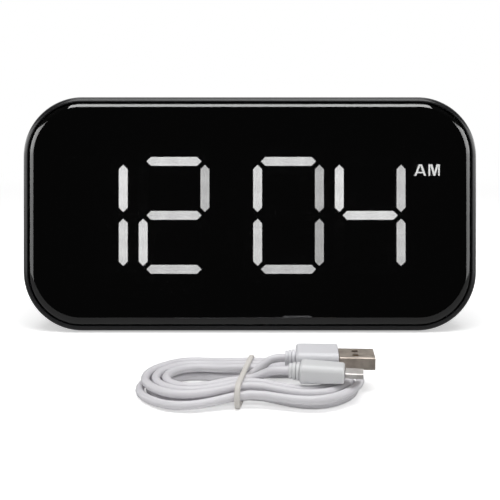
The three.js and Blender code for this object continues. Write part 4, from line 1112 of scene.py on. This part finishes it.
# The stepped strain relief behind a grip
def collarRings():
    rings = []
    for i in range(collar["rings"]):
        wide = collar["wide"] + collar["widen"] * i
        tall = min(wide, collar["tallest"])
        start = collar["from"] + collar["pitch"] * i
        end = start + collar["long"]
        ring = startCube("ring", (start, -wide / 2, -tall / 2), (end, wide / 2, tall / 2))
        edit(ring)
        roundAlong(xAxis, tall / 2 - collar["flat"], collar["steps"])
        choose("EDGE", lambda e: not along(e, xAxis) and sharp(e))
        bevel(*collar["edge"])
        done()
        rings.append(ring)
    joinInto(rings[0], rings[1:] + [startRod("core", collar["coreRadius"], collar["core"], (0, 0), "X")])
    return rings[0]


def plugGrip(name, plug):
    wide, tall = (size / 2 for size in plug["gripSize"])
    start, end = plug["grip"]
    piece = startCube(name, (start, -wide, -tall), (end, wide, tall))
    edit(piece)
    chooseFacing(xAxis, 1)
    bpy.ops.transform.resize(value=(1, plug["share"], plug["share"]))
    choose("EDGE", lambda e: abs((e.verts[0].co - e.verts[1].co).x) > (end - start) / 2 * mm)
    bevel(*plug["corner"])
    roundPlane(xAxis, start, *plug["backEdge"])
    roundPlane(xAxis, end, *plug["frontEdge"])
    done()
    joinInto(piece, [collarRings()])
    return piece


# A drawn shell: a box closed at the back, open at the front
def plugShell(name, plug):
    wide, tall = (size / 2 for size in plug["shellSize"])
    wall, start, end = plug["shellWall"], plug["grip"][1] + shells["gap"], plug["shellTo"]
    piece = startCube(name, (start, -wide, -tall), (end, wide, tall))
    edit(piece)
    roundAlong(xAxis, *plug["shellCorner"])
    chooseFacing(xAxis, 1)
    inset(wall)
    extrude(x=start + shells["back"] - end)
    done()
    softenPlane(piece, xAxis, end, wall * shells["lip"])
    return piece


def usbShell():
    piece = plugShell("usb_shell", usb)
    end = usb["shellTo"]
    for side in (-1, 1):
        middle = side * usb["aside"]
        for (start, stop), half, (low, high) in usb["openings"]:
            place = (end + start, middle - half, low), (end + stop, middle + half, high)
            boolean(piece, startCube("opening", *place))
    boolean(piece, startCube("seam", *usb["seam"]))
    softenPlane(piece, zAxis, usb["shellSize"][1] / 2, usb["soft"])
    return piece


def addPlugs():
    def add(piece, slot, plug, replaced=(), look=None):
        return finishPiece(piece, "cable", slot, replaced, look, plugPlace(plug))

    pieces = [
        add(plugGrip("usb_grip", usb), "grip_white", plugAt, ["plug_grip"]),
        add(usbShell(), "plug_nickel", plugAt, ["plug_shell"]),
        add(bluntBlock("usb_core", *usb["core"]), "grip_white", plugAt, ["plug_core"]),
    ]
    start, (low, high) = usb["stripFrom"], usb["stripHeights"]
    for i, (y, half, end) in enumerate(usb["strips"], 1):
        corners = (start, y - half, low), (end, y + half, high)
        strip = bluntBlock(f"usb_strip_{i}", *corners, zAxis, *usb["stripEdge"])
        pieces.append(add(strip, "contact_plate", plugAt, look="gold_strip"))
    return pieces + [
        add(plugGrip("tip_grip_cover", tip), "grip_white", tipAt, ["tip_grip"], "tip_white"),
        add(plugShell("tip_shell_cover", tip), "screw_steel", tipAt, ["tip_shell"], "tip_nickel"),
        add(bluntBlock("tip_tongue", *tip["tongue"]), "part_black", tipAt),
    ]


# Tie: a soft round-sectioned loop about the waist
tie = {
    "half": 18.15, "tall": 9, "thick": 1.35, "wide": 1.9, "lowCorner": (2.8, 8),
    "highCorner": (5, 12), "edge": (0.6, 5), "turn": 82, "left": 1.6, "middle": -0.96,
}


def cordTie():
    tall, wide = tie["tall"], tie["wide"] / 2
    piece = startSlab("tie_loop", 0, tie["half"] + tie["thick"], (-wide, wide), (0, tall))
    edit(piece)
    for level, corner in ((0, tie["lowCorner"]), (tall, tie["highCorner"])):
        choose("EDGE", lambda e: along(e, yAxis) and both(e, lambda p: near(p.z, level)))
        bevel(*corner)
    choose("FACE", lambda f: abs(f.normal.y) > limits["facing"])
    inset(tie["thick"])
    bridgeRims()
    choose("EDGE", sharp)
    bevel(*tie["edge"])
    done()
    return piece


plugPieces = addPlugs()
tiePlace = cablePlace @ moved(-tie["left"], tie["middle"], 0) @ turned(tie["turn"], "Z")
tieLoop = finishPiece(cordTie(), "cable", "tie_cream", ["cable_tie"], place=tiePlace)

dress(chargingCord, looks["cord_white"])
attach(chargingCord, "cable")
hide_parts("cable_hank", "cable_lead_plug", "cable_lead_tip")
tuple(cordStart)
print("cable made")


# The nodes that stay as they are take the finish of their slot
for part in frame["record"]["subparts"]:
    dress(nodes[part["node"]], looks[part["material_slot"]])


# Table top: softly lit near the clock, and further off pure white to the camera only
table = {"wide": 12, "near": 0.35, "far": 0.8, "colour": 0.9, "lift": 0.5, "mirrored": 0.25}


def addTable():
    clearChoice()
    bpy.ops.mesh.primitive_plane_add(size=table["wide"], location=(0, 0, 0))
    top = rename(bpy.context.object, "table_top")
    material, tree, shader = newMaterial("table top")
    tree.nodes.remove(shader)

    def glow(level, strength=1):
        return addNode(tree, "Emission", {"Color": (level, level, level, 1), "Strength": strength})[0]

    def mixed(factor, a, b):
        return addNode(tree, "MixShader", {0: factor, 1: a, 2: b})[0]

    length = addNode(tree, "VectorMath", {0: objectPlace(tree)}, operation="LENGTH")["Value"]
    far = addRange(tree, length, table["near"], table["far"], kind="SMOOTHSTEP")
    matte = addNode(tree, "BsdfDiffuse", {"Color": (*[table["colour"]] * 3, 1)})[0]
    path = addNode(tree, "LightPath")
    nearby = addNode(tree, "AddShader", {0: matte, 1: glow(1, table["lift"])})[0]
    seen = mixed(far, nearby, glow(1))
    plain = mixed(path["Is Glossy Ray"], matte, glow(table["mirrored"]))
    feed(tree.nodes["Material Output"], {"Surface": mixed(path["Is Camera Ray"], plain, seen)})
    dress(top, material)


# World: white to the camera, an even fill, and side panels and dark flags to glossy rays.
# A pair is where a soft change begins and ends.
studio = {
    "fill": 0.35, "panelAside": 0.94, "panelAhead": 0.342, "panelOff": (0.7, 0.66),
    "panelSlope": 0.623, "panelTop": (-0.03, 0.03), "panelRise": (0, 0.25),
    "panelLevels": (1.35, 2.8), "skyTaper": 2.6, "skyEdge": (0, 0.15), "skyAhead": (0.2, 0),
    "skyLevel": 1.5, "behind": (-0.1, -0.6), "behindLevels": (0.02, 0.6),
}


def addWorld():
    world = bpy.data.worlds.new("studio")
    bpy.context.scene.world = world
    world.use_nodes = True
    tree = world.node_tree
    place = addNode(tree, "TexCoord")["Generated"]
    path = addNode(tree, "LightPath")

    def dot(*direction):
        return addNode(tree, "VectorMath", {0: place, 1: direction}, operation="DOT_PRODUCT")["Value"]

    def soft(value, change, low=0, high=1):
        return addRange(tree, value, *studio[change], low, high, "SMOOTHSTEP")

    kinds = ("MULTIPLY", "ADD", "SUBTRACT", "MAXIMUM")
    times, plus, less, most = (partial(addMath, tree, kind) for kind in kinds)
    sine, cosine = math.sin(leanAngle), math.cos(leanAngle)
    ahead = dot(0, -cosine, sine)
    up = dot(0, sine, cosine)
    aside = addMath(tree, "ABSOLUTE", dot(1, 0, 0))
    panel = plus(times(aside, studio["panelAside"]), times(ahead, studio["panelAhead"]))
    below = soft(less(times(panel, studio["panelSlope"]), up), "panelTop")
    level = soft(up, "panelRise", *studio["panelLevels"])
    side = times(times(soft(ahead, "panelOff"), below), level)
    overhead = soft(less(up, times(aside, studio["skyTaper"])), "skyEdge")
    sky = times(overhead, soft(ahead, "skyAhead", 0, studio["skyLevel"]))
    behind = soft(ahead, "behind", *studio["behindLevels"])
    glossy, toCamera = path["Is Glossy Ray"], path["Is Camera Ray"]
    seen = most(toCamera, path["Is Transmission Ray"])
    rest = less(1, most(glossy, seen))
    mirrored = times(glossy, most(most(side, sky), behind))
    total = plus(plus(mirrored, toCamera), times(rest, studio["fill"]))
    feed(tree.nodes["Background"], {"Strength": total, "Color": (1, 1, 1, 1)})


# Lamp: one softbox overhead
lamp = {"turn": 65, "away": 0.62, "wide": 0.66, "long": 0.35, "power": 3.3, "aim": (0.01, 0.1)}


def addLamp():
    data = bpy.data.lights.new("overhead softbox", "AREA")
    data.shape = "RECTANGLE"
    data.size = lamp["wide"]
    data.size_y = lamp["long"]
    data.energy = lamp["power"]
    made = addObject("overhead softbox", data)
    angle = math.radians(lamp["turn"]) + leanAngle
    y, z = lamp["aim"]
    back = Vector((0, -math.cos(angle), math.sin(angle)))
    made.location = Vector((0, clockY + y, z)) + back * lamp["away"]
    made.rotation_mode = "QUATERNION"
    made.rotation_quaternion = back.to_track_quat("Z", "Y")


addTable()
addWorld()
addLamp()
print("stage made")
